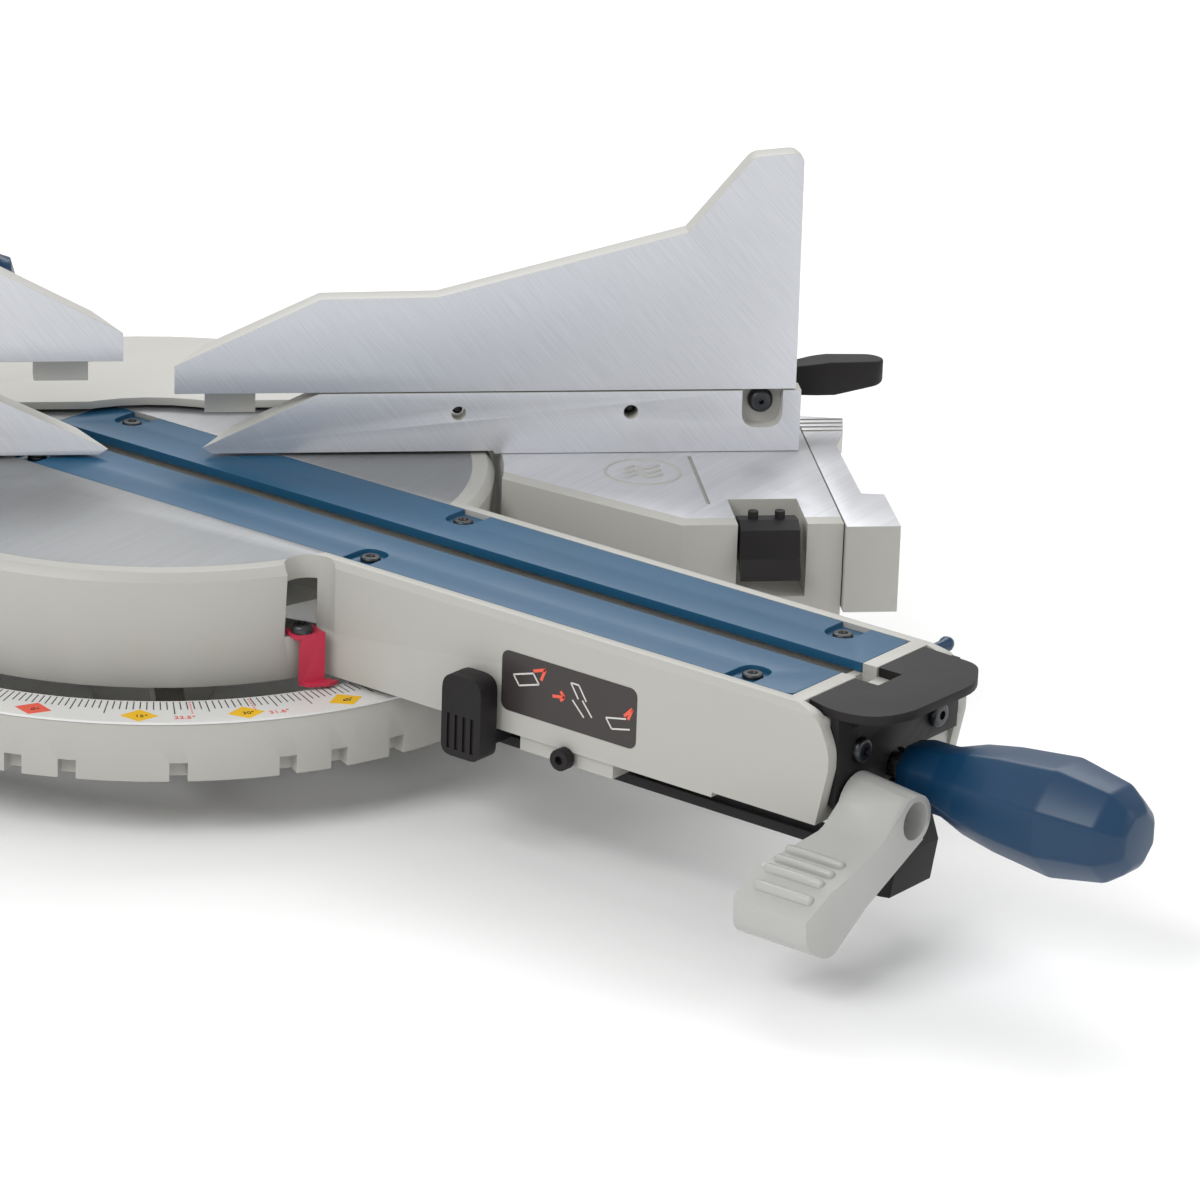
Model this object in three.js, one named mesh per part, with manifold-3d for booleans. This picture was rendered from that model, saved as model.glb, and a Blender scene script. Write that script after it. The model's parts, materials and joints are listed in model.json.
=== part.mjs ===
// Compound mitre saw, 305 mm blade: base, mitre table with its long arm, sliding fences and saw head.
// Millimetres, +Z up, +X right, +Y to the rear. The origin is on the bench under the mitre pivot.
// The saw rests with its arm turned 45 degrees to the right and its head raised to the top stop.
import * as THREE from 'three';
import { mergeVertices } from 'three/addons/utils/BufferGeometryUtils.js';
import Module from 'manifold-3d';

const wasm = await Module();
wasm.setup();

// ---------------------------------------------------------------- driving dimensions
const TABLE_Z = 105;            // work surface above the bench
const GAP = 0.4;                // clearance between pieces that touch or turn in each other

const WING_REACH = 281;         // pivot to the outer side of each base wing
const WING_FRONT = 92;          // wing front edge, forward of the fence
const WING_REAR = 35;           // wing rear edge, behind the fence face
const WING_DEPTH = 58;          // height of the wing walls
const WING_WALL = 5;
const FOOT_X = 250;             // feet, pivot to centre
const FOOT_WIDTH = 40;
const LEG_SIDE = 95;            // rear legs, pivot to centre
const LEG_WIDTH = 30;
const LEG_REACH = 215;          // rear legs' ends, behind the pivot

const TABLE_R = 144;            // turntable rim
const TABLE_CLEAR = 4;          // ring-shaped gap between turntable and wings
const TABLE_DEPTH = 50;         // turntable skirt
const RING_OUTER = 173;         // mitre ring under the turntable
const RING_INNER = 148;
const RING_DEPTH = 24.4;
const RING_TOP = TABLE_Z - 53.6;
const SCALE_THICK = 1;
const SCALE_HALF_ANGLE = 62;    // degrees either side of straight ahead

const ARM_HALF = 46.5;          // half width of the mitre arm
const ARM_WALL = 5.5;
const ARM_RIM = 371;            // pivot to the front of the raised rim
const RIM_TO_WALL = 13;         // from the front of the rim to the front wall
const ARM_FRONT = ARM_RIM + RIM_TO_WALL;
const ARM_DEPTH = 49.5;
const MITRE_REST = 45;          // degrees to the right
const INSERT_HALF = 39.5;
const INSERT_FRONT = ARM_RIM - 6.5;
const INSERT_REAR = 62;
const INSERT_THICK = 4;
const KERF_HALF = 7;
const KERF_DEPTH = 21;

const FENCE_THICK = 10;
const FENCE_RAIL = 10.2;        // thickness of the guide rail behind each sliding fence
const FENCE_END = 276;          // pivot to the outer end of the fixed fence
const FENCE_TIP = 19.9;         // pivot to the tip of the fixed fence
const RIGHT_FENCE_H = 27.6;     // height of the fixed fence, right side
const LEFT_FENCE_H = 42.4;      // height of the fixed fence, left side
const UPPER_FENCE_H = 133;      // top of the sliding fences above the table
const FENCE_GROWTH = 0.7;       // slot between fixed and sliding fence

const EXTENSION_OUT = 23;       // how far each extension stands out of its wing when closed
const EXTENSION_DEPTH = 38;
const ROD_R = 6;
const ROD_LENGTH = 108;

const KNOB_R = 24;
const KNOB_LENGTH = 107;
const KNOB_DROP = 34.7;         // knob axis below the table
const LEVER_SIDE = 27.5;        // bevel lever axis, left of the arm's centre line
const LEVER_DROP = 42;
const LEVER_LENGTH = 62;

const BLADE_R = 152.5;
const BLADE_THICK = 2.4;
const BLADE_TEETH = 60;
const HINGE_BACK = 215;         // chop hinge behind the pivot
const HINGE_UP = 200;           // chop hinge above the table
const ARBOR_AHEAD = 245;        // arbor in front of the chop hinge, head down
const ARBOR_BELOW = 63;         // arbor below the chop hinge, head down
const CHOP_RAISE = 57;          // degrees that the head rests above its lowest cut
const GUARD_R = 166;
const GUARD_HALF = 16.5;
const MOTOR_R = 44;
const MOTOR_LENGTH = 106;
const MOTOR_BACK = 48;          // motor axis behind and above the arbor, head down
const MOTOR_UP = 84;
const TRUNNION_R = 50;
const TRUNNION_Y = 168;         // rear face of the trunnion, where the yoke turns on it

// ---------------------------------------------------------------- finishes
const finish = (color, roughness,
  metalness) => new THREE.MeshStandardMaterial({ color, roughness, metalness });
const paint = finish(0xc3c2bc, 0.5, 0.1);
const machined = finish(0xc8cad0, 0.35, 0.8);
const steel = finish(0x9a9c9f, 0.35, 0.9);
const blackPlastic = finish(0x2e2a2c, 0.6, 0);
const bluePlastic = finish(0x1b5e86, 0.45, 0);
const knobBlue = finish(0x0b4a7a, 0.4, 0);
const leverGrey = finish(0xcfcfcd, 0.4, 0.1);
const redPlastic = finish(0xc2334d, 0.45, 0);
const scalePlate = finish(0xf0f0ee, 0.5, 0.1);
const rubber = finish(0x1f1f20, 0.85, 0);

// ---------------------------------------------------------------- solids
function toSolid(geometry) {
  const bare = geometry.clone();
  bare.deleteAttribute('normal');
  bare.deleteAttribute('uv');
  const merged = mergeVertices(bare, 1e-4);
  return new wasm.Manifold(new wasm.Mesh({
    numProp: 3,
    vertProperties: new Float32Array(merged.attributes.position.array),
    triVerts: new Uint32Array(merged.index.array),
  }));
}

function toGeometry(solid) {
  const mesh = solid.getMesh();
  const geometry = new THREE.BufferGeometry();
  geometry.setAttribute('position', new THREE.BufferAttribute(new Float32Array(mesh.vertProperties), 3));
  geometry.setIndex(new THREE.BufferAttribute(new Uint32Array(mesh.triVerts), 1));
  geometry.computeVertexNormals();
  return geometry;
}

// An outline with straight sides and rounded corners; a point may carry its own radius as a third value.
function outline(points, radius = 0) {
  const shape = new THREE.Shape();
  const count = points.length;
  points.forEach(([x, y, own], i) => {
    const r = own ?? radius;
    const here = new THREE.Vector2(x, y);
    const before = new THREE.Vector2(...points[(i + count - 1) % count].slice(0, 2)).sub(here);
    const after = new THREE.Vector2(...points[(i + 1) % count].slice(0, 2)).sub(here);
    const inset = Math.min(r, 0.49 * before.length(), 0.49 * after.length());
    const start = here.clone().add(before.setLength(inset));
    const end = here.clone().add(after.setLength(inset));
    if (i === 0) shape.moveTo(start.x, start.y);
    else shape.lineTo(start.x, start.y);
    if (inset > 0) shape.quadraticCurveTo(x, y, end.x, end.y);
  });
  shape.closePath();
  return shape;
}

function extrude(shape, depth, steps) {
  return new THREE.ExtrudeGeometry(shape, { depth, bevelEnabled: false, curveSegments: steps });
}

const asShape = (form) => (form instanceof THREE.Shape ? form : outline(form));

// Prisms along Z, X and Y. The outline's axes are (x, y), (y, z) and (x, z) in turn.
function prismZ(form, z0, z1, steps = 4) {
  return toSolid(extrude(asShape(form), z1 - z0, steps).translate(0, 0, z0));
}

function prismX(form, x0, x1, steps = 4) {
  const turn = new THREE.Matrix4().makeBasis(
    new THREE.Vector3(0, 1, 0), new THREE.Vector3(0, 0, 1), new THREE.Vector3(1, 0, 0));
  return toSolid(extrude(asShape(form), x1 - x0, steps).applyMatrix4(turn).translate(x0, 0, 0));
}

function prismY(form, y0, y1, steps = 4) {
  return toSolid(extrude(asShape(form), y1 - y0, steps).rotateX(Math.PI / 2).translate(0, y1, 0));
}

function box(x0, x1, y0, y1, z0, z1) {
  const geometry = new THREE.BoxGeometry(x1 - x0, y1 - y0, z1 - z0);
  return toSolid(geometry.translate((x0 + x1) / 2, (y0 + y1) / 2, (z0 + z1) / 2));
}

function cylinderZ(r, x, y, z0, z1, sides = 16) {
  const geometry = new THREE.CylinderGeometry(r, r, z1 - z0, sides).rotateX(Math.PI / 2);
  return toSolid(geometry.translate(x, y, (z0 + z1) / 2));
}

function cylinderX(r, y, z, x0, x1, sides = 16) {
  const geometry = new THREE.CylinderGeometry(r, r, x1 - x0, sides).rotateZ(Math.PI / 2);
  return toSolid(geometry.translate((x0 + x1) / 2, y, z));
}

function cylinderY(r, x, z, y0, y1, sides = 16) {
  const geometry = new THREE.CylinderGeometry(r, r, y1 - y0, sides);
  return toSolid(geometry.translate(x, (y0 + y1) / 2, z));
}

// A turned piece: profile points are (radius, distance along the axis).
function turned(profile, sides = 20) {
  const points = profile.map(([r, h]) => new THREE.Vector2(r, h));
  return new THREE.LatheGeometry(points, sides);
}

const turnedZ = (profile, sides) => toSolid(turned(profile, sides).rotateX(Math.PI / 2));
const turnedX = (profile, sides) => toSolid(turned(profile, sides).rotateZ(-Math.PI / 2));
const turnedY = (profile, sides) => toSolid(turned(profile, sides));

// The outline of a band around two round pulleys.
function bandOutline([y1, z1], r1, [y2, z2], r2) {
  const along = Math.atan2(z2 - z1, y2 - y1);
  const spread = Math.acos((r1 - r2) / Math.hypot(y2 - y1, z2 - z1));
  const shape = new THREE.Shape();
  shape.absarc(y1, z1, r1, along + spread, along - spread + 2 * Math.PI, false);
  shape.absarc(y2, z2, r2, along - spread, along + spread, false);
  return shape;
}

// A flat ring sector around Z; angles in degrees from straight ahead (-Y) towards +X.
function ringSector(inner, outer, from, to, z0, z1, steps = 40) {
  const shape = new THREE.Shape();
  const turn = (degrees) => THREE.MathUtils.degToRad(degrees - 90);
  shape.absarc(0, 0, outer, turn(from), turn(to), false);
  shape.absarc(0, 0, inner, turn(to), turn(from), true);
  return prismZ(shape, z0, z1, steps);
}

const mirrorX = (points) => points.map(([x, ...rest]) => [-x, ...rest]).reverse();

const model = new THREE.Group();

function addPiece(group, name, solid, material) {
  const mesh = new THREE.Mesh(toGeometry(solid), material);
  mesh.name = name;
  group.add(mesh);
  return mesh;
}

// ---------------------------------------------------------------- base
const T = TABLE_Z;
const wingBottom = T - WING_DEPTH;
const wingInnerR = TABLE_R + TABLE_CLEAR;
const wingPoints = [[128, -17], [213, -WING_FRONT], [WING_REACH, -WING_FRONT], [WING_REACH, WING_REAR],
  [128, WING_REAR]];
const lockSlot = { x0: 236.5, x1: 265.8, rear: 60.5, depth: 32 };
const rodRows = [-38, 0];
const rodZ = T - 30;
const footRows = [[-86, -58], [12, WING_REAR]];

function insetWing(wall) {
  return [[133, -14], [215, -WING_FRONT + wall], [WING_REACH - wall, -WING_FRONT + wall],
    [WING_REACH - wall, WING_REAR - wall], [133, WING_REAR - wall]];
}

function wingSolid(side) {
  const flip = (points) => (side > 0 ? points : mirrorX(points));
  const span = (a, b) => (side > 0 ? [a, b] : [-b, -a]);
  let wing = prismZ(flip(wingPoints), wingBottom, T);
  const pocket = prismZ(flip(insetWing(WING_WALL)), wingBottom - 1, T - 8)
    .subtract(cylinderZ(wingInnerR + WING_WALL, 0, 0, 0, T, 72));
  const [s0, s1] = span(lockSlot.x0 - WING_WALL, lockSlot.x1 + WING_WALL);
  const slotWalls = box(s0, s1, -WING_FRONT, -lockSlot.rear + WING_WALL, wingBottom, T - 8);
  wing = wing.subtract(pocket).add(slotWalls);
  const [c0, c1] = span(lockSlot.x0, lockSlot.x1);
  wing = wing.subtract(box(c0, c1, -WING_FRONT - 1, -lockSlot.rear, T - lockSlot.depth, T + 1));
  for (const [y0, y1] of footRows) {
    const [f0, f1] = span(FOOT_X - FOOT_WIDTH / 2, FOOT_X + FOOT_WIDTH / 2);
    wing = wing.add(box(f0, f1, y0, y1, 0, wingBottom + 6));
    wing = wing.add(box(f0 + 6, f1 - 6, y0 + 4, y1 - 4, wingBottom, T - lockSlot.depth - 3));
  }
  for (const y of rodRows) {
    const [r0, r1] = span(WING_REACH - 2 * WING_WALL, WING_REACH + 1);
    wing = wing.subtract(cylinderX(ROD_R + GAP, y, rodZ, r0, r1, 16));
  }
  const [g0, g1] = span(227, 228.6);
  wing = wing.subtract(box(g0, g1, -66, -FENCE_THICK / 2, T - 1.2, T + 1));
  return wing.subtract(cylinderZ(wingInnerR, 0, 0, RING_TOP - 0.01, T + 1, 72));
}

const boltHoles = [[1, 0], [1, 1], [-1, 0], [-1, 1]];

function baseCasting() {
  const ringBottom = RING_TOP - RING_DEPTH;
  let ring = cylinderZ(RING_OUTER, 0, 0, ringBottom, RING_TOP, 72)
    .subtract(cylinderZ(RING_INNER, 0, 0, ringBottom - 1, RING_TOP + 1, 48));
  const spoke = (turnDegrees) => box(-6, 6, 0, RING_INNER + 6, ringBottom, ringBottom + 14)
    .rotate([0, 0, turnDegrees]);
  let body = cylinderZ(26, 0, 0, 0, T - 56, 32);
  for (const angle of [0, 60, 120, 180, 240, 300]) body = body.add(spoke(angle));
  for (const angle of [0, 15, 22.5, 31.6, 45, -15, -22.5, -31.6, -45]) {
    const notch = box(-3.75, 3.75, -RING_OUTER - 1, -RING_OUTER + 7, ringBottom - 1, ringBottom + 8);
    ring = ring.subtract(notch.rotate([0, 0, angle]));
  }
  body = body.add(ring).add(wingSolid(1)).add(wingSolid(-1));
  for (const side of [-1, 1]) {
    const wingWeb = side > 0 ? box(150, 230, -12, 8, ringBottom + 4, wingBottom + 12)
      : box(-230, -150, -12, 8, ringBottom + 4, wingBottom + 12);
    body = body.add(wingWeb.subtract(cylinderZ(wingInnerR + WING_WALL, 0, 0, wingBottom, T, 72)));
  }
  for (const side of [-1, 1]) {
    const legIn = side * LEG_SIDE - LEG_WIDTH / 2;
    const legOut = side * LEG_SIDE + LEG_WIDTH / 2;
    const legTop = ringBottom + 17;
    body = body.add(box(legIn, legOut, RING_INNER - 28, LEG_REACH, ringBottom, legTop));
    body = body.add(box(legIn, legOut, LEG_REACH - 27, LEG_REACH, 0, legTop));
  }
  for (const [side, row] of boltHoles) {
    const [y0, y1] = footRows[row];
    body = body.subtract(cylinderZ(4.2, side * (FOOT_X + 11), (y0 + y1) / 2, -1, 16, 12));
  }
  body = body.subtract(cylinderZ(6.3, 0, 0, T - 84, T, 20));
  return body;
}

addPiece(model, 'base_casting', baseCasting(), paint);
addPiece(model, 'mitre_scale', ringSector(149.6, RING_OUTER + 0.3, -SCALE_HALF_ANGLE, SCALE_HALF_ANGLE,
  RING_TOP + 0.3, RING_TOP + 0.3 + SCALE_THICK, 30), scalePlate);

// ---------------------------------------------------------------- extensions and their locks
function extensionSolid(side) {
  const x0 = WING_REACH + 0.6;
  const out = WING_REACH + EXTENSION_OUT;
  const plan = [[x0, 47], [out - 2, 43], [out - 5, 24], [out - 10.5, 6.4], [out - 9.6, -54.7], [out, -56],
    [out + 0.5, -96], [x0, -96]];
  let solid = prismZ(side > 0 ? plan : mirrorX(plan), T - EXTENSION_DEPTH, T);
  const thin = side > 0 ? box(x0 + 4, out + 2, -52, 50, T - EXTENSION_DEPTH - 1, T - 9)
    : box(-out - 2, -x0 - 4, -52, 50, T - EXTENSION_DEPTH - 1, T - 9);
  solid = solid.subtract(thin);
  for (let i = 0; i < 4; i += 1) {
    const y = 26 + i * 5;
    solid = solid.subtract(side > 0 ? box(x0 - 1, out, y, y + 1.6, T - 1.5, T + 1)
      : box(-out, -x0 + 1, y, y + 1.6, T - 1.5, T + 1));
  }
  for (const y of rodRows) {
    const from = WING_REACH - ROD_LENGTH;
    solid = solid.add(side > 0 ? cylinderX(ROD_R, y, rodZ, from, x0 + 4.5, 16)
      : cylinderX(ROD_R, y, rodZ, -x0 - 4.5, -from, 16));
  }
  return solid;
}

// A small cam lever in the slot at the wing's front edge.
function extensionLock(side) {
  const x0 = lockSlot.x0 + 1;
  const x1 = lockSlot.x0 + 26;
  const profile = [[-78, T - 1], [-88, T + 0.6], [-94, T - 2], [-96, T - 14], [-101, T - 20], [-98, T - 23],
    [-92, T - 17], [-84, T - 16], [-78, T - 8]];
  const [b0, b1] = side > 0 ? [x0, x1] : [-x1, -x0];
  let lock = prismX(profile, b0, b1);
  for (const share of [0.25, 0.7]) {
    lock = lock.add(cylinderZ(2.2, b0 + share * (b1 - b0), -85, T - 6, T + 3.6, 10));
  }
  return lock;
}

for (const [side, word] of [[1, 'right'], [-1, 'left']]) {
  addPiece(model, `extension_${word}`, extensionSolid(side), machined);
  addPiece(model, `extension_lock_${word}`, extensionLock(side), blackPlastic);
}

// ---------------------------------------------------------------- fixed fence
const underTable = 1.6;         // the fence clears the turning table by this much
const tipBack = 1.3;            // back of each fence tip leans away from the blade by this slope

function tipRelief(tipX, z0, z1) {
  const reach = 60;
  const wedge = [[tipX, 0], [tipX + Math.sign(tipX) * tipBack * reach, reach], [0, reach], [0, 0]];
  return prismZ(tipX > 0 ? wedge : [...wedge].reverse(), z0, z1);
}

function fixedFence(side, height) {
  const slope = (RIGHT_FENCE_H - 4.2) / 49.5;
  const rise = FENCE_TIP + (height - 4.2) / slope;
  const face = [[FENCE_TIP, T + 4.2], [FENCE_TIP + 4, T + underTable], [144, T + underTable],
    [144.5, T + 0.3],
    [FENCE_END, T + 0.3], [FENCE_END, T + height], [rise, T + height]];
  const flip = (points) => (side > 0 ? points : mirrorX(points));
  const span = (a, b) => (side > 0 ? [a, b] : [-b, -a]);
  const [f0, f1] = span(152, FENCE_END);
  let fence = prismY(flip(face), 0, FENCE_THICK);
  fence = fence.add(box(f0, f1, FENCE_THICK - 2, WING_REAR - 1, T + 0.3, T + 8));
  const wallY = FENCE_THICK + FENCE_RAIL + 2 * GAP;
  fence = fence.add(box(f0, f1, wallY, wallY + 4, T + 2, T + height - 4));
  for (const x of [128.9, 202.8]) fence = fence.subtract(cylinderY(3.2, side * x, T + 18.4, -1,
    FENCE_THICK + 1, 16));
  const notch = outline([[250.6, T + height + 1], [250.6, T + height - 16.7, 7],
    [268.2, T + height - 16.7, 7],
    [268.2, T + height + 1]].map(([x, ...rest]) => [side * x, ...rest]));
  return fence.subtract(prismY(notch, -1, 8));
}

function bridgePlate() {
  const keep = box(-160, 160, FENCE_THICK - 2, 160, T + 0.2, T + 6);
  return cylinderZ(150, 0, 0, T + underTable, T + 5, 60)
    .subtract(cylinderZ(65, 0, 0, T, T + 6, 36)).intersect(keep)
    .add(box(140, 154, FENCE_THICK - 2, WING_REAR - 1, T + underTable, T + 5))
    .add(box(-154, -140, FENCE_THICK - 2, WING_REAR - 1, T + underTable, T + 5));
}

const fenceCasting = fixedFence(1, RIGHT_FENCE_H).add(fixedFence(-1, LEFT_FENCE_H)).add(bridgePlate())
  .subtract(tipRelief(FENCE_TIP, T - 1, T + 60)).subtract(tipRelief(-FENCE_TIP, T - 1, T + 60));
addPiece(model, 'fence_casting', fenceCasting, machined);

function hexHead(r, x, y0, y1, z) {
  return toSolid(new THREE.CylinderGeometry(r, r, y1 - y0, 6).translate(x, (y0 + y1) / 2, z));
}

for (const [side, word, height] of [[1, 'right', RIGHT_FENCE_H], [-1, 'left', LEFT_FENCE_H]]) {
  addPiece(model, `fence_screw_${word}`, hexHead(5.4, side * 259.3, 2.5, 8 - GAP, T + height - 6), steel);
}

// ---------------------------------------------------------------- sliding fences
function slidingFence(side, bottom, tip, railDrop) {
  const z0 = T + bottom;
  const top = T + UPPER_FENCE_H;
  const face = [[tip, z0], [tip, z0 + 12.5], [69.3, z0 + 41.4], [119, z0 + 42.1], [224.7, top - 34.6],
    [251.7, top - 1.6, 3], [269.6, top, 3], [273, top - 3], [273.6, z0]];
  const flip = (points) => (side > 0 ? points : mirrorX(points));
  const [r0, r1] = side > 0 ? [20.4, 269] : [-269, -28];
  let fence = prismY(flip(face), 0, FENCE_THICK);
  const [t0, t1] = side > 0 ? [20.4, 43] : [-51, -28];
  fence = fence.add(box(r0, r1, FENCE_THICK - 1, FENCE_THICK + GAP + FENCE_RAIL, z0 + 0.2, z0 + 12));
  fence = fence.add(box(t0, t1, FENCE_THICK + GAP, FENCE_THICK + GAP + FENCE_RAIL, z0 - railDrop, z0 + 2));
  const [u0, u1] = side > 0 ? [180, 269] : [-269, -180];
  fence = fence.add(box(u0, u1, FENCE_THICK + GAP, FENCE_THICK + GAP + FENCE_RAIL, z0 - railDrop, z0 + 2));
  return fence.subtract(tipRelief(side * tip, z0 - 20, z0 + 60));
}

addPiece(model, 'sliding_fence_right', slidingFence(1, RIGHT_FENCE_H + FENCE_GROWTH, 7.8, 11.8), machined);
let leftFence = slidingFence(-1, LEFT_FENCE_H + FENCE_GROWTH, 13.7, 11.8);
leftFence = leftFence.add(box(-84, -70, FENCE_THICK - 1, 19, T + 62, T + 74));
addPiece(model, 'sliding_fence_left', leftFence, machined);

const knobTip = turnedX([[0, -92], [7, -92], [9, -88], [9, -66], [7, -60], [0, -58]], 16)
  .translate([0, 29, T + 73]);
addPiece(model, 'fence_knob_left', knobTip.add(box(-84, -72, 19.4, 24, T + 66, T + 78)), knobBlue);

function fenceLever(side) {
  const plan = [[277, 24], [286, 23, 3], [314, 24, 4], [317, 30, 4], [312, 36, 4], [286, 37, 3], [277, 34]];
  const body = prismZ(outline(side > 0 ? plan : mirrorX(plan)), T + 17, T + 32);
  const taper = prismY(outline([[276, T + 16], [290, T + 16], [318, T + 22], [318, T + 34], [300, T + 33],
    [276, T + 30]].map(([x, z]) => [side * x, z])), 20, 40);
  return body.intersect(taper);
}

for (const [side, word] of [[1, 'right'], [-1, 'left']]) {
  addPiece(model, `fence_lever_${word}`, fenceLever(side), blackPlastic);
}

// ---------------------------------------------------------------- turntable and arm
// The arm group is drawn pointing straight ahead: -Y runs along the arm and +X is its right side.
const arm = new THREE.Group();
arm.rotation.z = THREE.MathUtils.degToRad(MITRE_REST);
model.add(arm);

const screwRows = [-INSERT_FRONT + 26, -144, 40];
const screwSide = 30;
const armBottom = T - ARM_DEPTH;
const insertSeat = T - INSERT_THICK - 0.3;
const capFloor = T - 4.3;
const capPanelBottom = T - 30;
const pocketAngle = -22.3;
const pointerAngle = -23.3;
const pocketR = 143;

function turntableSolid() {
  const disc = turnedZ([[0, T - TABLE_DEPTH], [140.5, T - TABLE_DEPTH], [TABLE_R, T - 3.5],
    [TABLE_R - 3, T], [0, T]], 72);
  const side = outline([[0, T], [-ARM_RIM, T], [-ARM_RIM - 11, T - 3, 8], [-ARM_FRONT - 4, T - 16, 5],
    [-ARM_FRONT - 4, T - 24], [-ARM_FRONT + 1, T - 47.5], [-ARM_FRONT + 51, T - 47.5],
      [-ARM_FRONT + 51, armBottom], [0, armBottom]]);
  let body = prismX(side, -ARM_HALF, ARM_HALF);
  for (const edge of [-1, 1]) {
    const chamfer = [[ARM_HALF - 3, T + 1], [ARM_HALF + 1, T - 4],
      [ARM_HALF + 1, T + 1]].map(([x, z]) => [edge * x, z]);
    body = body.subtract(prismY(chamfer, -ARM_FRONT - 9, 0));
  }
  const cavity = box(-ARM_HALF + ARM_WALL, ARM_HALF - ARM_WALL, -ARM_FRONT + ARM_WALL, -TABLE_R + 8,
    armBottom - 1, T - 10);
  body = disc.add(body.subtract(cavity));
  const under = cylinderZ(136, 0, 0, T - TABLE_DEPTH - 1, T - 10, 40)
    .subtract(cylinderZ(30, 0, 0, 0, T, 32))
    .subtract(box(-20, 20, -140, 75, T - KERF_DEPTH - 6, T));
  body = body.subtract(under);
  const trunnionNeck = box(-40, 40, 120, TRUNNION_Y - 8, T - 46, T - 3);
  const trunnion = cylinderY(TRUNNION_R, 0, T, 152.4, TRUNNION_Y, 48);
  body = body.add(trunnionNeck).add(trunnion);
  body = body.subtract(box(-INSERT_HALF - 0.3, INSERT_HALF + 0.3, -INSERT_FRONT - 0.3,
    INSERT_REAR + 0.3, insertSeat, T + 1));
  body = body.subtract(box(-14, 14, -INSERT_FRONT + 4, INSERT_REAR - 2, T - KERF_DEPTH, T));
  body = body.subtract(box(-KERF_HALF, KERF_HALF, -ARM_RIM - 1, -INSERT_FRONT, T - 9, T + 1));
  const pocketX = pocketR * Math.sin(THREE.MathUtils.degToRad(pocketAngle));
  const pocketY = -pocketR * Math.cos(THREE.MathUtils.degToRad(pocketAngle));
  body = body.subtract(cylinderZ(10.5, pocketX, pocketY, T - 31, T + 1, 24));
  body = body.subtract(box(-41, 41, -ARM_FRONT - 20, -ARM_RIM - 0.5, capFloor, T + 1));
  body = body.subtract(box(-41, 41, -ARM_FRONT - 20, -ARM_FRONT + 0.2, T - 48, T + 1));
  body = body.subtract(cylinderY(5 + 2 * GAP, 0, T - KNOB_DROP, -ARM_FRONT - 9, -ARM_FRONT + 9, 20));
  body = body.subtract(cylinderY(5 + 2 * GAP, -LEVER_SIDE, T - LEVER_DROP, -ARM_FRONT - 9,
    -ARM_FRONT + 9, 20));
  for (const y of screwRows) {
    for (const edge of [-1, 1]) body = body.subtract(cylinderZ(2.2, edge * screwSide, y, T - 12, T, 12));
  }
  const boss = box(-45, -33, -283, -236, armBottom - 6.5, armBottom + 1);
  body = body.add(boss);
  body = body.subtract(cylinderX(2.8, -260.6, T - 52.3, -47, -38, 10));
  body = body.subtract(cylinderX(2.4 + GAP, -ARM_RIM + 3, T - 6, 34, 50, 12));
  body = body.subtract(cylinderZ(6.4, 0, 0, T - 60, T, 20));
  body = body.subtract(cylinderY(8.3, 0, T, 151, TRUNNION_Y + 1, 20));
  return body;
}

addPiece(arm, 'turntable', turntableSolid(), paint);
addPiece(arm, 'pivot_bolt', turnedZ([[0, T - 82], [5.9, T - 82], [5.9, T - KERF_DEPTH + 0.3],
  [10, T - KERF_DEPTH + 0.3], [10, T - 17.4], [0, T - 17.4]], 20), steel);
addPiece(arm, 'pivot_washer', turnedZ([[6.6, T - 55.6], [24, T - 55.6], [24, T - 50.4], [6.6, T - 50.4],
  [6.6, T - 55.6]], 24), steel);

function kerfInsert(side) {
  const plan = [[KERF_HALF, INSERT_REAR], [KERF_HALF, -INSERT_FRONT], [INSERT_HALF, -INSERT_FRONT, 4],
    [INSERT_HALF, INSERT_REAR]];
  let plate = prismZ(outline(side > 0 ? plan : mirrorX(plan)), T - INSERT_THICK, T);
  for (const y of screwRows) {
    const slot = outline([[screwSide - 7, y - 7, 7], [INSERT_HALF + 1, y - 7], [INSERT_HALF + 1, y + 7],
      [screwSide - 7, y + 7, 7]].map(([x, v, r]) => [side * x, v, r]));
    plate = plate.subtract(prismZ(slot, T - 2.2, T + 1));
    plate = plate.subtract(cylinderZ(2.6, side * screwSide, y, T - 8, T, 12));
  }
  return plate;
}

for (const [side, word] of [[1, 'right'], [-1, 'left']]) {
  addPiece(arm, `kerf_insert_${word}`, kerfInsert(side), bluePlastic);
  screwRows.forEach((y, i) => {
    const screw = turnedZ([[0, T - 10], [2, T - 10], [2, T - 1.9], [4.2, T - 1.9], [4.2, T - 0.2],
      [0, T - 0.2]], 8);
    addPiece(arm, `insert_screw_${word}_${i + 1}`, screw.translate([side * screwSide, y, 0]), steel);
  });
}

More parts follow.
